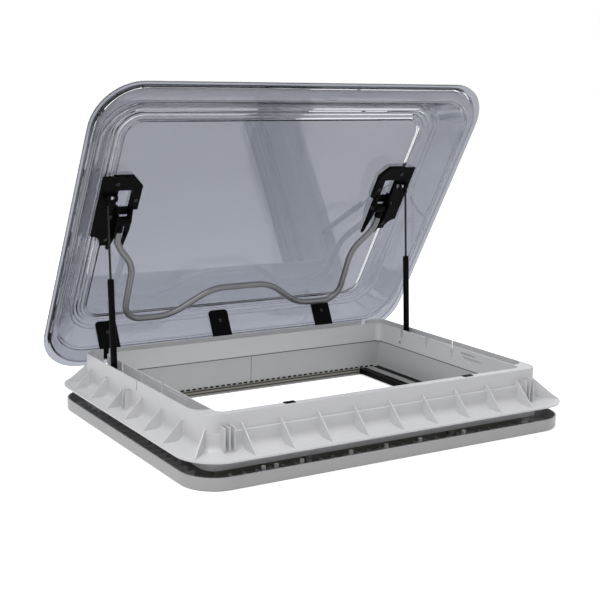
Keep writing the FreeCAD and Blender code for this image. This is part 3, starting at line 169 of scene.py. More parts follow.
def moulded_group():
    """Fine moulded grain: a colour that drifts a little, uneven gloss and a shallow bump."""
    group, given, result = new_tree(
        "ShaderNodeTree", "Moulded grain",
        {"Colour": "Color", "Drift": "Float", "Roughness": "Float", "Grain size": "Float",
         "Grain depth": "Float"},
        {"Colour": "Color", "Roughness": "Float", "Normal": "Vector"},
    )
    place = own_place(group)
    cloud = add_node(group, "ShaderNodeTexNoise",
                     {"Vector": place, "Scale": DRIFT_SCALE, "Detail": DRIFT_DETAIL})
    grain = add_node(group, "ShaderNodeTexNoise",
                     {"Vector": place, "Scale": given["Grain size"], "Detail": GRAIN_DETAIL})
    drift = calculate(group, "SUBTRACT", cloud.outputs["Fac"], NOISE_MIDDLE)
    bright = calculate(group, "MULTIPLY_ADD", drift, given["Drift"], 1.0)
    colour = add_node(group, "ShaderNodeVectorMath", {0: given["Colour"], "Scale": bright},
                      operation="SCALE")
    bump = add_node(group, "ShaderNodeBump",
                    {"Strength": given["Grain depth"], "Distance": GRAIN_BUMP,
                     "Height": grain.outputs["Fac"]})
    feed(group, result, {
        "Colour": colour.outputs[0],
        "Roughness": calculate(group, "MULTIPLY_ADD", drift, DRIFT_GLOSS, given["Roughness"]),
        "Normal": bump.outputs["Normal"],
    })
    return group


MOULDED = moulded_group()


def moulded(name, colour, roughness, depth=0.15, metallic=0.0, gleam=0.5):
    """A moulded or painted finish. Depth is that of its grain, gleam how much it reflects."""
    material, tree, shader = new_material(name)
    surface = add_node(tree, "ShaderNodeGroup", {
        "Colour": opaque(colour), "Drift": DRIFT_COLOUR, "Roughness": roughness,
        "Grain size": GRAIN_SCALE, "Grain depth": depth,
    }, node_tree=MOULDED)
    feed(tree, shader, {
        "Base Color": surface.outputs["Colour"],
        "Roughness": surface.outputs["Roughness"],
        "Normal": surface.outputs["Normal"],
        "Metallic": metallic,
        "Specular IOR Level": gleam,
    })
    return material


def two_tone(name, low_colour, high_colour, height, roughness):
    """Plastic that changes colour at a height, as a rail does under its strip."""
    material = moulded(name, low_colour, roughness)
    tree = material.node_tree
    split = add_node(tree, "ShaderNodeSeparateXYZ", {0: own_place(tree)})
    above = calculate(tree, "GREATER_THAN", split.outputs["Z"], height)
    surface = next(node for node in tree.nodes if node.type == "GROUP")
    feed(tree, surface, {
        "Colour": mix_colours(tree, above, opaque(low_colour), opaque(high_colour)),
    })
    return material


# Clear acrylic

# The sheet's own unevenness: its scale, and the darkest and lightest share of its colour
TINT_SCALE = 3.0
TINT_LOW = 0.97
TINT_HIGH = 1.03
# Light that crosses the sheet at a slant passes more of it: where that tells, and its tint
SLANT_START = 0.55
SLANT_END = 0.95
SLANT_TINT = 0.25
ACRYLIC_IOR = 1.45


def acrylic(name, colour):
    """Tinted clear sheet, darker where it is seen at a slant.

    Lamps' rays pass with a paler tint, so that it throws a pale shadow."""
    material, tree, shader = new_material(name)
    cloud = add_node(tree, "ShaderNodeTexNoise", {"Vector": own_place(tree), "Scale": TINT_SCALE})
    even = mix_colours(tree, cloud.outputs["Fac"],
                       opaque(colour, TINT_LOW), opaque(colour, TINT_HIGH))
    slant = add_node(tree, "ShaderNodeLayerWeight", {"Blend": 0.5})
    depth = add_node(tree, "ShaderNodeMapRange", {
        "Value": slant.outputs["Facing"], "From Min": SLANT_START, "From Max": SLANT_END,
    })
    feed(tree, shader, {
        "Base Color": mix_colours(tree, depth.outputs["Result"], even, opaque(colour, SLANT_TINT)),
        "Roughness": 0.0,
        "IOR": ACRYLIC_IOR,
        "Transmission Weight": 1.0,
    })
    paler = [0.5 + c / 2 for c in colour]
    shadow = add_node(tree, "ShaderNodeBsdfTransparent", {"Color": opaque(paler)})
    path = add_node(tree, "ShaderNodeLightPath")
    either = add_node(tree, "ShaderNodeMixShader", {
        "Fac": path.outputs["Is Shadow Ray"], 1: shader.outputs["BSDF"], 2: shadow.outputs["BSDF"],
    })
    feed(tree, tree.nodes["Material Output"], {"Surface": either.outputs["Shader"]})
    return material


# Blind cloth

# Scale of the threads, share of the colour between them, their relief and the cloth's roughness
THREAD_SCALE = 700.0
THREAD_SHADE = 0.75
THREAD_RELIEF = 0.3
THREAD_BUMP = 0.0002
CLOTH_ROUGHNESS = 0.85


def woven(name, colour):
    """Fine woven cloth, threads along X and Y."""
    material, tree, shader = new_material(name)
    place = own_place(tree)
    threads = [
        add_node(tree, "ShaderNodeTexWave", {"Vector": place, "Scale": THREAD_SCALE},
                 bands_direction=direction).outputs["Fac"]
        for direction in ("X", "Y")
    ]
    height = calculate(tree, "MULTIPLY", *threads)
    bump = add_node(tree, "ShaderNodeBump",
                    {"Strength": THREAD_RELIEF, "Distance": THREAD_BUMP, "Height": height})
    feed(tree, shader, {
        "Base Color": mix_colours(tree, height, opaque(colour, THREAD_SHADE), opaque(colour)),
        "Normal": bump.outputs["Normal"],
        "Roughness": CLOTH_ROUGHNESS,
    })
    return material


# Height of the pale strip above each guide rail, down from the rail's top
STRIP_HEIGHT = 0.004
STRIP_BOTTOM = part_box("guide_rail_back")[1][2] - STRIP_HEIGHT

frame_plastic = moulded("Frame plastic", FRAME_GREY, roughness=0.38)
trim_plastic = moulded("Trim plastic", TRIM_GREY, roughness=0.34)
liner_plastic = moulded("Liner plastic", LINER_GREY, roughness=0.45)
# Painted light: near white for the bright holes in the trim's hollow, not the trim's own grey
stud_light_paint = moulded("Stud painted light", STUD_PAINTED_LIGHT, roughness=0.3)
seam_shade = moulded("Seam shade", SEAM_GREY, roughness=0.7)
rail_plastic = two_tone("Rail plastic", RAIL_BEIGE, LINER_GREY, STRIP_BOTTOM, roughness=0.45)
black_plastic = moulded("Black plastic", BLACK, roughness=0.34, depth=0.3, gleam=0.03)
strut_paint = moulded("Strut paint", STRUT_BLACK, roughness=0.25, depth=0.05, gleam=0.04)
screw_steel = moulded("Screw steel", STEEL, roughness=0.30, depth=0.05, metallic=1.0)
dark_steel = moulded("Blackened steel", DARK_STEEL, roughness=0.35, depth=0.05, metallic=0.8)
rod_steel = moulded("Rod steel", ROD_STEEL, roughness=0.20, depth=0.02, metallic=0.3, gleam=0.3)
bow_paint = moulded("Bow paint", BOW_GREY, roughness=0.30, depth=0.05, metallic=0.45)
smoked_acrylic = acrylic("Smoked acrylic", SMOKED)
clear_acrylic = acrylic("Clear acrylic", CLEAR)
flyscreen_cloth = woven("Flyscreen cloth", FLYSCREEN)
blackout_cloth = woven("Blackout cloth", BLACKOUT)

# A CAD node takes the first finish that has a part of its name
NODE_FINISHES = (
    (dark_steel, ("strap_screws", "bracket_screws", "bow_pins")),
    (screw_steel, ("_screws", "_pins", "_studs")),
    (frame_plastic, ("roof_frame",)),
    (trim_plastic, ("ceiling_trim",)),
    (liner_plastic, ("liner_",)),
    (rail_plastic, ("guide_rail_", "end_rail_")),
    (black_plastic, ("blind_cassette", "_bar", "rim_clip_", "hinge_base_", "hinge_strap_",
                     "bracket_", "bow_socket_", "strut_foot_", "strut_socket_")),
    (strut_paint, ("strut_cylinder_",)),
    (rod_steel, ("strut_rod_",)),
    (bow_paint, ("bow_handle",)),
    (smoked_acrylic, ("dome_",)),
    (flyscreen_cloth, ("flyscreen_pack",)),
    (blackout_cloth, ("blackout_pack",)),
)


def dress_cad():
    """Gives each CAD node the finish that its name asks for."""
    for name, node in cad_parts.items():
        fitting = [finish for finish, parts in NODE_FINISHES if any(p in name for p in parts)]
        for slot in node.material_slots:
            slot.material = fitting[0]


dress_cad()


# Mesh helpers

# Edges that turn by more degrees than this are sharp
SMOOTH_ANGLE = 40.0
PANE_SMOOTH_ANGLE = 25.0
CREASE_ANGLE = 10.0
# Points along a ring's round corners and its sides
CORNER_STEPS = 14
SIDE_STEPS = 6


def new_piece(name, verts, faces, material, smooth_angle=SMOOTH_ANGLE):
    """A piece from its points and faces, in one material."""
    mesh = bpy.data.meshes.new(name)
    mesh.from_pydata([tuple(v) for v in verts], [], faces)
    mesh.validate()
    mesh.materials.append(material)
    for polygon in mesh.polygons:
        polygon.use_smooth = True
    mesh.set_sharp_from_angle(angle=math.radians(smooth_angle))
    return place_in_scene(name, mesh)


def place_in_scene(name, data):
    """An object at the origin that shows a mesh, a lamp or a camera."""
    thing = bpy.data.objects.new(name, data)
    bpy.context.scene.collection.objects.link(thing)
    return thing


def rounded_ring(left, right, front, back, corner, z):
    """Points round a rectangle with round corners, always the same number."""
    centres = (
        (right - corner, back - corner, 0.0),
        (left + corner, back - corner, 90.0),
        (left + corner, front + corner, 180.0),
        (right - corner, front + corner, 270.0),
    )
    arcs = []
    for x, y, start in centres:
        arc = []
        for step in range(CORNER_STEPS + 1):
            angle = math.radians(start + 90.0 * step / CORNER_STEPS)
            arc.append(Vector((x + corner * math.cos(angle), y + corner * math.sin(angle), z)))
        arcs.append(arc)
    points = []
    for index, arc in enumerate(arcs):
        points += arc
        following = arcs[(index + 1) % 4][0]
        points += [arc[-1].lerp(following, step / SIDE_STEPS) for step in range(1, SIDE_STEPS)]
    return points


def skin_rings(rings):
    """Faces through rings of equal length, in order, with a flat cap at both ends."""
    count = len(rings[0])
    last = (len(rings) - 1) * count
    verts = [point for ring in rings for point in ring]
    faces = []
    for row in range(0, last, count):
        for i in range(count):
            a = row + i
            b = row + (i + 1) % count
            faces.append((a, b, b + count, a + count))
    faces.append(tuple(reversed(range(count))))
    faces.append(tuple(range(last, last + count)))
    return verts, faces


def on_lid(points):
    """Points of the shut lid, moved to where the lid stands open."""
    return [LID @ Vector(p) for p in points]


# Lid: two smooth sheets in place of the coarse ones

# The dome's outline: half its length, its front and back edges and its corners
DOME_HALF = 0.415
DOME_FRONT = 0.310
DOME_BACK = 0.314
DOME_CORNER = 0.088
# Underside of its flange, thickness of the sheet, rounding of the lip and width of the flange
DOME_RIM = 0.0525
DOME_SHEET = 0.003
DOME_LIP = 0.0008
RIM_WIDTH = 0.014
# The pillow: its rise, how far in it runs, how much its corners tighten and its rings
DOME_RISE = 0.0715
DOME_RUN = 0.200
CORNER_SHRINK = 0.55
BANDS = 26
# The pillow leaves the flange on a hollow bend: how far out it starts, where it ends and its steps
ROOT_REACH = 0.0105
ROOT_TURN = math.radians(11.0)
ROOT_STEPS = 7


def dome_ring(inset, z, corner):
    """The dome's outline, drawn in by an inset."""
    return rounded_ring(inset - DOME_HALF, DOME_HALF - inset, inset - DOME_FRONT, DOME_BACK - inset,
                        corner, z)


def pillow(edge, base):
    """Rings from the flange up to the crown, with a hollow bend at the root."""
    crown = DOME_RISE + DOME_SHEET
    end_slope = crown * math.cos(ROOT_TURN) / (DOME_RUN * math.sin(ROOT_TURN))
    end_inset = edge + DOME_RUN * (1 - math.cos(ROOT_TURN))
    end_rise = crown * math.sin(ROOT_TURN)
    knee = end_inset - end_rise / end_slope
    start = edge - ROOT_REACH
    shrink = CORNER_SHRINK * math.sin(ROOT_TURN)
    rings = []
    for step in range(ROOT_STEPS):
        share = step / ROOT_STEPS
        inset = (1 - share) ** 2 * start + 2 * share * (1 - share) * knee + share ** 2 * end_inset
        corner = DOME_CORNER * (1 - shrink * share)
        rings.append(dome_ring(inset, base + share ** 2 * end_rise, corner))
    for step in range(BANDS + 1):
        turn = ROOT_TURN + (math.pi / 2 - ROOT_TURN) * step / BANDS
        inset = edge + DOME_RUN * (1 - math.cos(turn))
        z = base + crown * math.sin(turn)
        rings.append(dome_ring(inset, z, DOME_CORNER * (1 - CORNER_SHRINK * math.sin(turn))))
    return rings


def make_outer_dome():
    """The smoked outer sheet: down the inside of the pillow, round the rim and up its outside."""
    top = DOME_RIM + DOME_SHEET
    inside = list(reversed(pillow(RIM_WIDTH + DOME_SHEET, DOME_RIM)))
    rim = [
        dome_ring(DOME_LIP, DOME_RIM, DOME_CORNER - DOME_LIP),
        dome_ring(0.0, DOME_RIM + DOME_LIP, DOME_CORNER),
        dome_ring(0.0, top - DOME_LIP, DOME_CORNER),
        dome_ring(DOME_LIP, top, DOME_CORNER - DOME_LIP),
    ]
    verts, faces = skin_rings(inside + rim + pillow(RIM_WIDTH, top))
    dome = new_piece("outer_dome", on_lid(verts), faces, smoked_acrylic)
    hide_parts("dome_outer")
    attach(dome, "lid")


PANE_SHEET = 0.0025
# Half length, front, back, height, corner and share of the sheet's rise at each level of the pane
PANE_LEVELS = (
    (0.3930, 0.2720, 0.2724, 0.0552, 0.070, 0.0),
    (0.3450, 0.2306, 0.2434, 0.0974, 0.052, 0.5),
    (0.3260, 0.2116, 0.2364, 0.1020, 0.036, 0.8),
    (0.3160, 0.2016, 0.2264, 0.1022, 0.030, 0.8),
)
# How far in the pane's edge lies under the dome's root bend, below and above, and its corners there
PANE_EDGE_LOW = 0.0095
PANE_EDGE_TOP = 0.0130
PANE_TOP_CORNER = 0.0845
# Small beads round the pane: place and half width of each, counted in levels, and their rise
BEADS = (
    (0.10, 0.05), (0.80, 0.05), (0.93, 0.04), (1.30, 0.12),
    (1.75, 0.10), (2.35, 0.18), (2.75, 0.14),
)
BEAD_RISE = 0.0020


def pane_ring(at, offset, rise=0.0):
    """The pane's outline between two of its levels, moved outwards by an offset."""
    low = min(int(at), len(PANE_LEVELS) - 2)
    share = at - low
    half, front, back, z, corner, lift = [
        a + (b - a) * share for a, b in zip(PANE_LEVELS[low], PANE_LEVELS[low + 1])
    ]
    return rounded_ring(-half - offset, half + offset, -front - offset, back + offset,
                        corner + offset, z + offset * lift - rise)


def pane_profile():
    """Places along the pane from lip to face, each with the rise of its bead."""
    places = {float(level): 0.0 for level in range(len(PANE_LEVELS))}
    for bead, half in BEADS:
        places[bead - half] = 0.0
        places[bead] = BEAD_RISE
        places[bead + half] = 0.0
    return sorted(places.items())


def make_inner_pane():
    """The clear inner sheet: its room side from the face outwards, its edge, and back above it."""
    flange_top = PANE_LEVELS[0][3]
    profile = pane_profile()
    room_side = [pane_ring(at, 0.0, rise) for at, rise in reversed(profile)]
    mouth = [Vector((p.x, p.y, DOME_RIM)) for p in room_side[-1]]
    edge = [dome_ring(PANE_EDGE_LOW, DOME_RIM, DOME_CORNER),
            dome_ring(PANE_EDGE_TOP, flange_top, PANE_TOP_CORNER)]
    dome_side = [pane_ring(at, PANE_SHEET) for at, rise in profile]
    verts, faces = skin_rings(room_side + [mouth] + edge + dome_side)
    pane = new_piece("inner_pane", on_lid(verts), faces, clear_acrylic, PANE_SMOOTH_ANGLE)
    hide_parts("dome_inner")
    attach(pane, "lid")


make_outer_dome()
make_inner_pane()


# Bow: a bent tube on two pivots, drawn in its own plane with Y away from the pivots

# Middle between the pivots on the open lid, tilt of the bow from the lid, and the tube's radius
BOW_PIVOT = Vector((0.0, 0.192631, 0.309545))
BOW_TILT = math.radians(6.1)
BOW = Matrix.Translation(BOW_PIVOT) @ Matrix.Rotation(-OPEN_ANGLE - BOW_TILT, 4, "X")
BOW_TUBE = 0.00625
# Corners of one half, each with the radius of its bend
BOW_HALF = (
    (0.294, 0.0100, 0.0),
    (0.294, 0.0480, 0.060),
    (0.251, 0.0980, 0.066),
    (0.251, 0.2210, 0.038),
    (0.150, 0.2210, 0.095),
    (0.066, 0.1650, 0.095),
)
BEND_STEPS = 12
TUBE_SIDES = 24


def bend(before, corner, after, radius):
    """Points round one corner of a path, on an arc that meets both its sides."""
    if radius == 0.0:
        return [corner]
    back = (before - corner).normalized()
    on = (after - corner).normalized()
    half = back.angle(on) / 2
    reach = radius / math.tan(half)
    centre = corner + (back + on).normalized() * radius / math.sin(half)
    start = corner + back * reach - centre
    end = corner + on * reach - centre
    swing = start.angle(end)
    points = []
    for step in range(BEND_STEPS + 1):
        share = step / BEND_STEPS
        a = math.sin(swing * (1 - share)) / math.sin(swing)
        b = math.sin(swing * share) / math.sin(swing)
        points.append(centre + start * a + end * b)
    return points


def bow_path():
    """Middle line of the bow from the right pivot to the left one."""
    corners = [(Vector((x, y, 0.0)), radius) for x, y, radius in BOW_HALF]
    corners += [(Vector((-place.x, place.y, 0.0)), radius) for place, radius in reversed(corners)]
    path = []
    for i, (corner, radius) in enumerate(corners):
        before = corners[max(i - 1, 0)][0]
        after = corners[min(i + 1, len(corners) - 1)][0]
        path += bend(before, corner, after, radius)
    return path


def make_bow():
    """The bow's tube: a round ring at each point of its path."""
    path = bow_path()
    upright = Vector((0.0, 0.0, 1.0))
    rings = []
    for i, place in enumerate(path):
        along = (path[min(i + 1, len(path) - 1)] - path[max(i - 1, 0)]).normalized()
        across = along.cross(upright)
        ring = []
        for side in range(TUBE_SIDES):
            turn = math.tau * side / TUBE_SIDES
            out = across * math.cos(turn) + upright * math.sin(turn)
            ring.append(BOW @ (place + out * BOW_TUBE))
        rings.append(ring)
    verts, faces = skin_rings(rings)
    outwards = [tuple(reversed(face)) for face in faces]
    bow = new_piece("bow_tube", verts, outwards, bow_paint)
    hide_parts("bow_handle")
    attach(bow, "bow")


make_bow()


# Blinds: pleated cloth in place of the plain packs

# Pleats of each blind, and how far their folds stay inside the pack's top and bottom
PLEATS = 72
FOLD_CLEAR = 0.0001


def make_pleats(name, node, material):
    """A zigzag sheet between the holder and the pull bar, folded across the pack's box."""
    low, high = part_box(node)
    near_x, far_x = high[0], low[0]
    verts = []
    faces = []
    for step in range(PLEATS * 2 + 1):
        x = near_x + (far_x - near_x) * step / (PLEATS * 2)
        z = high[2] - FOLD_CLEAR if step % 2 else low[2] + FOLD_CLEAR
        verts += [(x, low[1], z), (x, high[1], z)]
        if step:
            a = (step - 1) * 2
            faces.append((a, a + 1, a + 3, a + 2))
    pleats = new_piece(name, verts, faces, material, CREASE_ANGLE)
    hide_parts(node)
    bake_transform(pleats)


make_pleats("flyscreen_pleats", "flyscreen_pack", flyscreen_cloth)
make_pleats("blackout_pleats", "blackout_pack", blackout_cloth)


# Small parts that repeat: copies of one shape, placed by a node group and kept as a plain mesh


def new_geometry(name, inputs):
    """A geometry group with named inputs for its sizes and its finish."""
    return new_tree("GeometryNodeTree", name,
                    {"Geometry": "Geometry", **inputs, "Finish": "Material"},
                    {"Geometry": "Geometry"})


def finish_copies(group, given, result, shape, points, **more):
    """Sets a shape on every point, makes the copies real and gives them their finish."""
    copies = add_node(group, "GeometryNodeInstanceOnPoints",
                      {"Points": points, "Instance": shape, **more})
    real = add_node(group, "GeometryNodeRealizeInstances",
                    {"Geometry": copies.outputs["Instances"]})
    dressed = add_node(group, "GeometryNodeSetMaterial",
                       {"Geometry": real.outputs["Geometry"], "Material": given["Finish"]})
    feed(group, result, {"Geometry": dressed.outputs["Geometry"]})
    return group


def slot_shade_group():
    """Equal black blocks in a row, painted shade in the slots of the guide rails."""
    group, given, result = new_geometry("Slot shade row", {
        "Count": "Int", "Pitch": "Vector", "Start": "Vector", "Block": "Vector",
    })
    line = add_node(group, "GeometryNodeMeshLine", {
        "Count": given["Count"], "Start Location": given["Start"], "Offset": given["Pitch"],
    })
    block = add_node(group, "GeometryNodeMeshCube", {"Size": given["Block"]})
    return finish_copies(group, given, result, block.outputs["Mesh"], line.outputs["Mesh"])


def recess_shade_group():
    """A crossed black slot at every point, turned to the way the heads face: the recess's shape,
    with painted shade for its hollow.
    """
    group, given, result = new_geometry("Screw recess shade", {
        "Length": "Float", "Width": "Float", "Height": "Float", "Turn": "Rotation",
    })
    cross = add_node(group, "GeometryNodeJoinGeometry")
    for along, across in (("Length", "Width"), ("Width", "Length")):
        size = add_node(group, "ShaderNodeCombineXYZ",
                        {"X": given[along], "Y": given[across], "Z": given["Height"]})
        bar = add_node(group, "GeometryNodeMeshCube", {"Size": size.outputs[0]})
        feed(group, cross, {"Geometry": bar.outputs["Mesh"]})
    return finish_copies(group, given, result, cross.outputs["Geometry"], given["Geometry"],
                         Rotation=given["Turn"])


STUD_SIDES = 20


def stud_group():
    """A short round stud at every point."""
    group, given, result = new_geometry("Studs", {"Radius": "Float", "Height": "Float"})
    stud = add_node(group, "GeometryNodeMeshCylinder",
                    {"Vertices": STUD_SIDES, "Radius": given["Radius"], "Depth": given["Height"]})
    return finish_copies(group, given, result, stud.outputs["Mesh"], given["Geometry"])


def grow(name, group, points, values):
    """Runs a node group on some points and keeps the result as a plain mesh."""
    seed = bpy.data.meshes.new(name + "_points")
    seed.from_pydata([tuple(p) for p in points], [], [])
    holder = place_in_scene(name + "_points", seed)
    modifier = holder.modifiers.new(group.name, "NODES")
    modifier.node_group = group
    for item in group.interface.items_tree:
        if item.in_out == "INPUT" and item.name in values:
            modifier[item.identifier] = values[item.name]
    graph = bpy.context.evaluated_depsgraph_get()
    mesh = bpy.data.meshes.new_from_object(holder.evaluated_get(graph))
    mesh.name = name
    piece = place_in_scene(name, mesh)
    bpy.data.objects.remove(holder)
    return piece


# Black blocks that paint the shade in the slots of the rails' strips: the row, one block, and how
# deep it lies under the top and the face
SLOT_COUNT = 47
SLOT_PITCH = 0.013
SLOT_BLOCK = (0.0082, 0.0012, 0.0031)
SLOT_DROP = 0.0021
SLOT_SINK = 0.00055
# How far the strip's face stands in from the rail's back
STRIP_SET = 0.0045


def make_slot_shade():
    """Black blocks in the slots of the strips above the two guide rails, as painted shade for their
    hollows.
    """
    group = slot_shade_group()
    for place, side in (("front", -1), ("back", 1)):
        low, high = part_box("guide_rail_" + place)
        wall = high[1] if side > 0 else low[1]
        start = (-SLOT_PITCH * (SLOT_COUNT - 1) / 2, wall - side * (STRIP_SET - SLOT_SINK),
                 high[2] - SLOT_DROP)
        values = {"Count": SLOT_COUNT, "Pitch": (SLOT_PITCH, 0.0, 0.0), "Start": start,
                  "Block": SLOT_BLOCK, "Finish": black_plastic}
        row = grow("rail_slot_shade_" + place, group, [(0.0, 0.0, 0.0)], values)
        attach(row, "frame")


# A head's points lie this near its top, and nearer to each other than to the next head
FACE_DEPTH = 0.00005
HEAD_SPREAD = 0.009


def head_centres(node, axis):
    """Middle of each screw head of a node, on the side that faces along the axis."""
    points = [v.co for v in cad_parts[node].data.vertices]
    top = max(p.dot(axis) for p in points)
    heads = []
    for point in points:
        if point.dot(axis) < top - FACE_DEPTH:
            continue
        for head in heads:
            if (head[0] - point).length < HEAD_SPREAD:
                head.append(point)
                break
        else:
            heads.append([point])
    return [sum(head, Vector()) / len(head) for head in heads]


# The straps' screws face along the pane's slope between its first two levels
STRAP_TILT = math.atan2(PANE_LEVELS[1][3] - PANE_LEVELS[0][3],
                        PANE_LEVELS[1][2] - PANE_LEVELS[0][2])
DOWN = Vector((0.0, 0.0, -1.0))
UP = Vector((0.0, 0.0, 1.0))
ROOM_SIDE = LID.to_3x3() @ DOWN
STRAP_SIDE = LID.to_3x3() @ Vector((0.0, -math.sin(STRAP_TILT), math.cos(STRAP_TILT)))
# Length of the cross in a large and a small head, its width as a share of that, and its height
LARGE_CROSS = 0.0045
SMALL_CROSS = 0.0038
CROSS_WIDTH = 0.25
CROSS_HEIGHT = 0.0002
# Screws, the body they sit in, the way their heads face and the length of their cross
SCREW_HEADS = (
    ("trim_screws", "frame", DOWN, LARGE_CROSS),
    ("hinge_base_screws", "frame", UP, SMALL_CROSS),
    ("bracket_screws", "lid", ROOM_SIDE, SMALL_CROSS),
    ("strap_screws", "lid", STRAP_SIDE, SMALL_CROSS),
)


def make_recess_shade():
    """A black cross in the head of every screw: the shape of its cross recess, with painted shade
    in it.
    """
    group = recess_shade_group()
    for node, body, axis, length in SCREW_HEADS:
        values = {"Length": length, "Width": length * CROSS_WIDTH, "Height": CROSS_HEIGHT,
                  "Turn": axis.to_track_quat("Z", "X").to_euler(), "Finish": black_plastic}
        cross = grow(node + "_recess", group, head_centres(node, axis), values)
        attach(cross, body)


# Studs, near white as painted light for the bright holes in the trim's hollow: their places along
# the front, the line they stand on, their size and their ends
STUD_PLACES = (-0.252, -0.228, -0.180, -0.084, -0.012, 0.060, 0.156)
STUD_LINE = -0.257
STUD_RADIUS = 0.0036
STUD_FOOT = -0.0445
STUD_TOP = -0.0262


def make_studs():
    """Studs in the hollow of the ceiling trim, along the front. Their near-white colour is painted
    light, for holes through which the white floor shows.
    """
    middle = (STUD_FOOT + STUD_TOP) / 2
    points = [(x, STUD_LINE, middle) for x in STUD_PLACES]
    values = {"Radius": STUD_RADIUS, "Height": STUD_TOP - STUD_FOOT, "Finish": stud_light_paint}
    studs = grow("trim_studs", stud_group(), points, values)
    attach(studs, "frame")


# Foot of each corner web on the flange, where it leaves the wall, and how much further out that is
# at the back
WEB_FOOT = (0.374, 0.257)
WEB_ROOT = (0.339, 0.225)
WEB_BACK = 0.011
# Its lower edge, its top at the wall and half its thickness
WEB_LOW = 0.0025
WEB_TOP = 0.042
WEB_HALF = 0.0011


def make_corner_webs():
    """One upright web across each round corner of the flange."""
    verts = []
    faces = []
    for side in (-1, 1):
        for end in (-1, 1):
            extra = WEB_BACK if end > 0 else 0.0
            root = Vector((WEB_ROOT[0] * side, (WEB_ROOT[1] + extra) * end))
            foot = Vector((WEB_FOOT[0] * side, WEB_FOOT[1] * end))
            along = (foot - root).normalized()
            across = Vector((-along.y, along.x)) * WEB_HALF
            first = len(verts)
            for edge in (across, -across):
                verts += [(*(root + edge), WEB_LOW), (*(foot + edge), WEB_LOW),
                          (*(foot + edge), WEB_LOW * 2), (*(root + edge), WEB_TOP)]
            near = [first + i for i in range(4)]
            far = [first + 4 + i for i in range(4)]
            faces += [tuple(reversed(near)), tuple(far)]
            for i in range(4):
                j = (i + 1) % 4
                faces.append((near[i], near[j], far[j], far[i]))
    webs = new_piece("corner_webs", verts, faces, frame_plastic, CREASE_ANGLE)
    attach(webs, "frame")


# The liner's sheet, half the seam's width, how far the lines stand off it and the edge's shade
LINER_SHEET = 0.002
SEAM_HALF = 0.0006
SEAM_SKIN = 0.0001
EDGE_SHADE = 0.0018


def make_liner_seam():
    """Lines of shade: the joint of the liner's two halves, and its top edge under the frame."""
    low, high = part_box("liner_left")
    verts = []
    faces = []
    for end, face in ((-1, low[1] + LINER_SHEET), (1, high[1] - LINER_SHEET)):
        first = len(verts)
        front = face - end * SEAM_SKIN
        verts += [(-SEAM_HALF, front, low[2]), (SEAM_HALF, front, low[2]),
                  (SEAM_HALF, front, high[2]), (-SEAM_HALF, front, high[2])]
        ring = [first + i for i in range(4)]
        faces.append(tuple(ring) if end > 0 else tuple(reversed(ring)))
    first = len(verts)
    inset = LINER_SHEET + SEAM_SKIN
    left, right = low[0] + inset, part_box("liner_right")[1][0] - inset
    front, back = low[1] + inset, high[1] - inset
    corners = ((left, front), (right, front), (right, back), (left, back))
    verts += [(x, y, z) for z in (high[2] - EDGE_SHADE, high[2]) for x, y in corners]
    for i in range(4):
        j = (i + 1) % 4
        faces.append((first + j, first + i, first + 4 + i, first + 4 + j))
    seam = new_piece("liner_seam", verts, faces, seam_shade)
    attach(seam, "frame")


# Behind the keepers' slots and hollows in the two inner side walls: from and to in X, Y and Z
KEEPER_BACK_X = (0.31755, 0.31835)
KEEPER_BACK_Y = (-0.1220, -0.0550)
KEEPER_BACK_Z = (0.0325, 0.0555)
# Sides of a box whose points run through X, then Y, then Z
BOX_SIDES = (
    (0, 1, 3, 2), (4, 6, 7, 5), (0, 4, 5, 1), (2, 3, 7, 6), (0, 2, 6, 4), (1, 5, 7, 3),
)


def make_keeper_backs():
    """A thin wall on the gutter's side closes each keeper's slot and hollow."""
    verts = []
    faces = []
    for side in (-1, 1):
        first = len(verts)
        across = sorted(side * x for x in KEEPER_BACK_X)
        verts += [(x, y, z) for x in across for y in KEEPER_BACK_Y for z in KEEPER_BACK_Z]
        faces += [tuple(first + i for i in quad) for quad in BOX_SIDES]
    backs = new_piece("keeper_backs", verts, faces, frame_plastic, CREASE_ANGLE)
    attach(backs, "frame")


make_slot_shade()
make_recess_shade()
make_keeper_backs()
make_studs()
make_corner_webs()
make_liner_seam()


# Stage, lamps and camera

FLOOR_REACH = 30.0
FLOOR_ROUGHNESS = 0.9
# What the floor adds where it is looked at, and how brightly the room lights the object
FLOOR_GLOW = 0.62
ROOM_LIGHT = 0.45


def looked_at(tree):
    """1 for rays that look at a background, straight, in gloss or through glass, and else 0."""
    path = add_node(tree, "ShaderNodeLightPath")
    seen = path.outputs["Is Camera Ray"]
    for kind in ("Is Glossy Ray", "Is Transmission Ray"):
        seen = calculate(tree, "MAXIMUM", seen, path.outputs[kind])
    return seen


def make_stage():
    """A plain pale floor under the object, white to the camera."""
    material, tree, shader = new_material("Pale floor")
    feed(tree, shader, {
        "Base Color": opaque(FLOOR_WHITE),
        "Roughness": FLOOR_ROUGHNESS,
        "Specular IOR Level": 0.0,
        "Emission Color": opaque(LIGHT_WHITE),
        "Emission Strength": calculate(tree, "MULTIPLY", looked_at(tree), FLOOR_GLOW),
    })
    floor_z = cad_bounds[0][2]
    square = ((-1, -1), (1, -1), (1, 1), (-1, 1))
    corners = [(x * FLOOR_REACH, y * FLOOR_REACH, floor_z) for x, y in square]
    mesh = bpy.data.meshes.new("floor")
    mesh.from_pydata(corners, [], [(0, 1, 2, 3)])
    mesh.materials.append(material)
    floor = place_in_scene("floor", mesh)


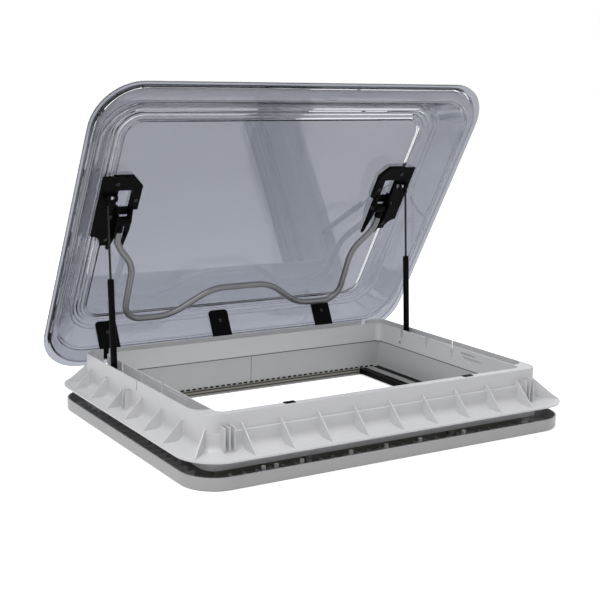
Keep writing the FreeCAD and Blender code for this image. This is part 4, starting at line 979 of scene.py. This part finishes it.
def make_world():
    """A white room that looks brighter than it lights."""
    world = bpy.data.worlds.new("Studio")
    bpy.context.scene.world = world
    world.use_nodes = True
    tree = world.node_tree
    strength = add_node(tree, "ShaderNodeMapRange",
                        {"Value": looked_at(tree), "To Min": ROOM_LIGHT, "To Max": 1.0})
    feed(tree, tree.nodes["Background"],
         {"Color": opaque(LIGHT_WHITE), "Strength": strength.outputs["Result"]})


LAMP_TARGET = Vector((0.0, 0.0, 0.1))
# Name, place, width of the square panel and watts
LAMPS = (
    ("key", (-1.2, -0.9, 2.5), 1.6, 38.0),
    ("top", (0.3, 0.4, 3.0), 2.4, 22.0),
)


def make_lamps():
    """Two soft panels that point at the object."""
    for name, place, size, power in LAMPS:
        data = bpy.data.lights.new(name, "AREA")
        data.shape = "RECTANGLE"
        data.size = data.size_y = size
        data.energy = power
        lamp = place_in_scene(name, data)
        lamp.location = place
        aim = LAMP_TARGET - Vector(place)
        lamp.rotation_euler = aim.to_track_quat("-Z", "Y").to_euler()


# The photograph's own camera, solved from the object's straight edges
CAMERA_PLACE = Vector((-1.1622, -1.7453, 0.5762))
CAMERA_YAW = math.radians(30.61)
CAMERA_PITCH = math.radians(11.54)
CAMERA_ROLL = math.radians(1.0)
CAMERA_SENSOR = 36.0
CAMERA_LENS = 69.9
CAMERA_SHIFT = (0.0833, 0.020)


def make_camera():
    """A camera at the photograph's viewing angle."""
    forward = Vector((
        math.sin(CAMERA_YAW) * math.cos(CAMERA_PITCH),
        math.cos(CAMERA_YAW) * math.cos(CAMERA_PITCH),
        -math.sin(CAMERA_PITCH),
    ))
    level = Vector((math.cos(CAMERA_YAW), -math.sin(CAMERA_YAW), 0.0))
    upright = level.cross(forward)
    right = level * math.cos(CAMERA_ROLL) + upright * math.sin(CAMERA_ROLL)
    up = right.cross(forward)
    data = bpy.data.cameras.new("camera")
    data.sensor_width = CAMERA_SENSOR
    data.lens = CAMERA_LENS
    data.shift_x, data.shift_y = CAMERA_SHIFT
    camera = place_in_scene("camera", data)
    turn = Matrix((right, up, -forward)).transposed().to_4x4()
    camera.matrix_world = Matrix.Translation(CAMERA_PLACE) @ turn
    bpy.context.scene.camera = camera


make_stage()
make_world()
make_lamps()
make_camera()
bpy.context.scene.view_settings.view_transform = "Standard"
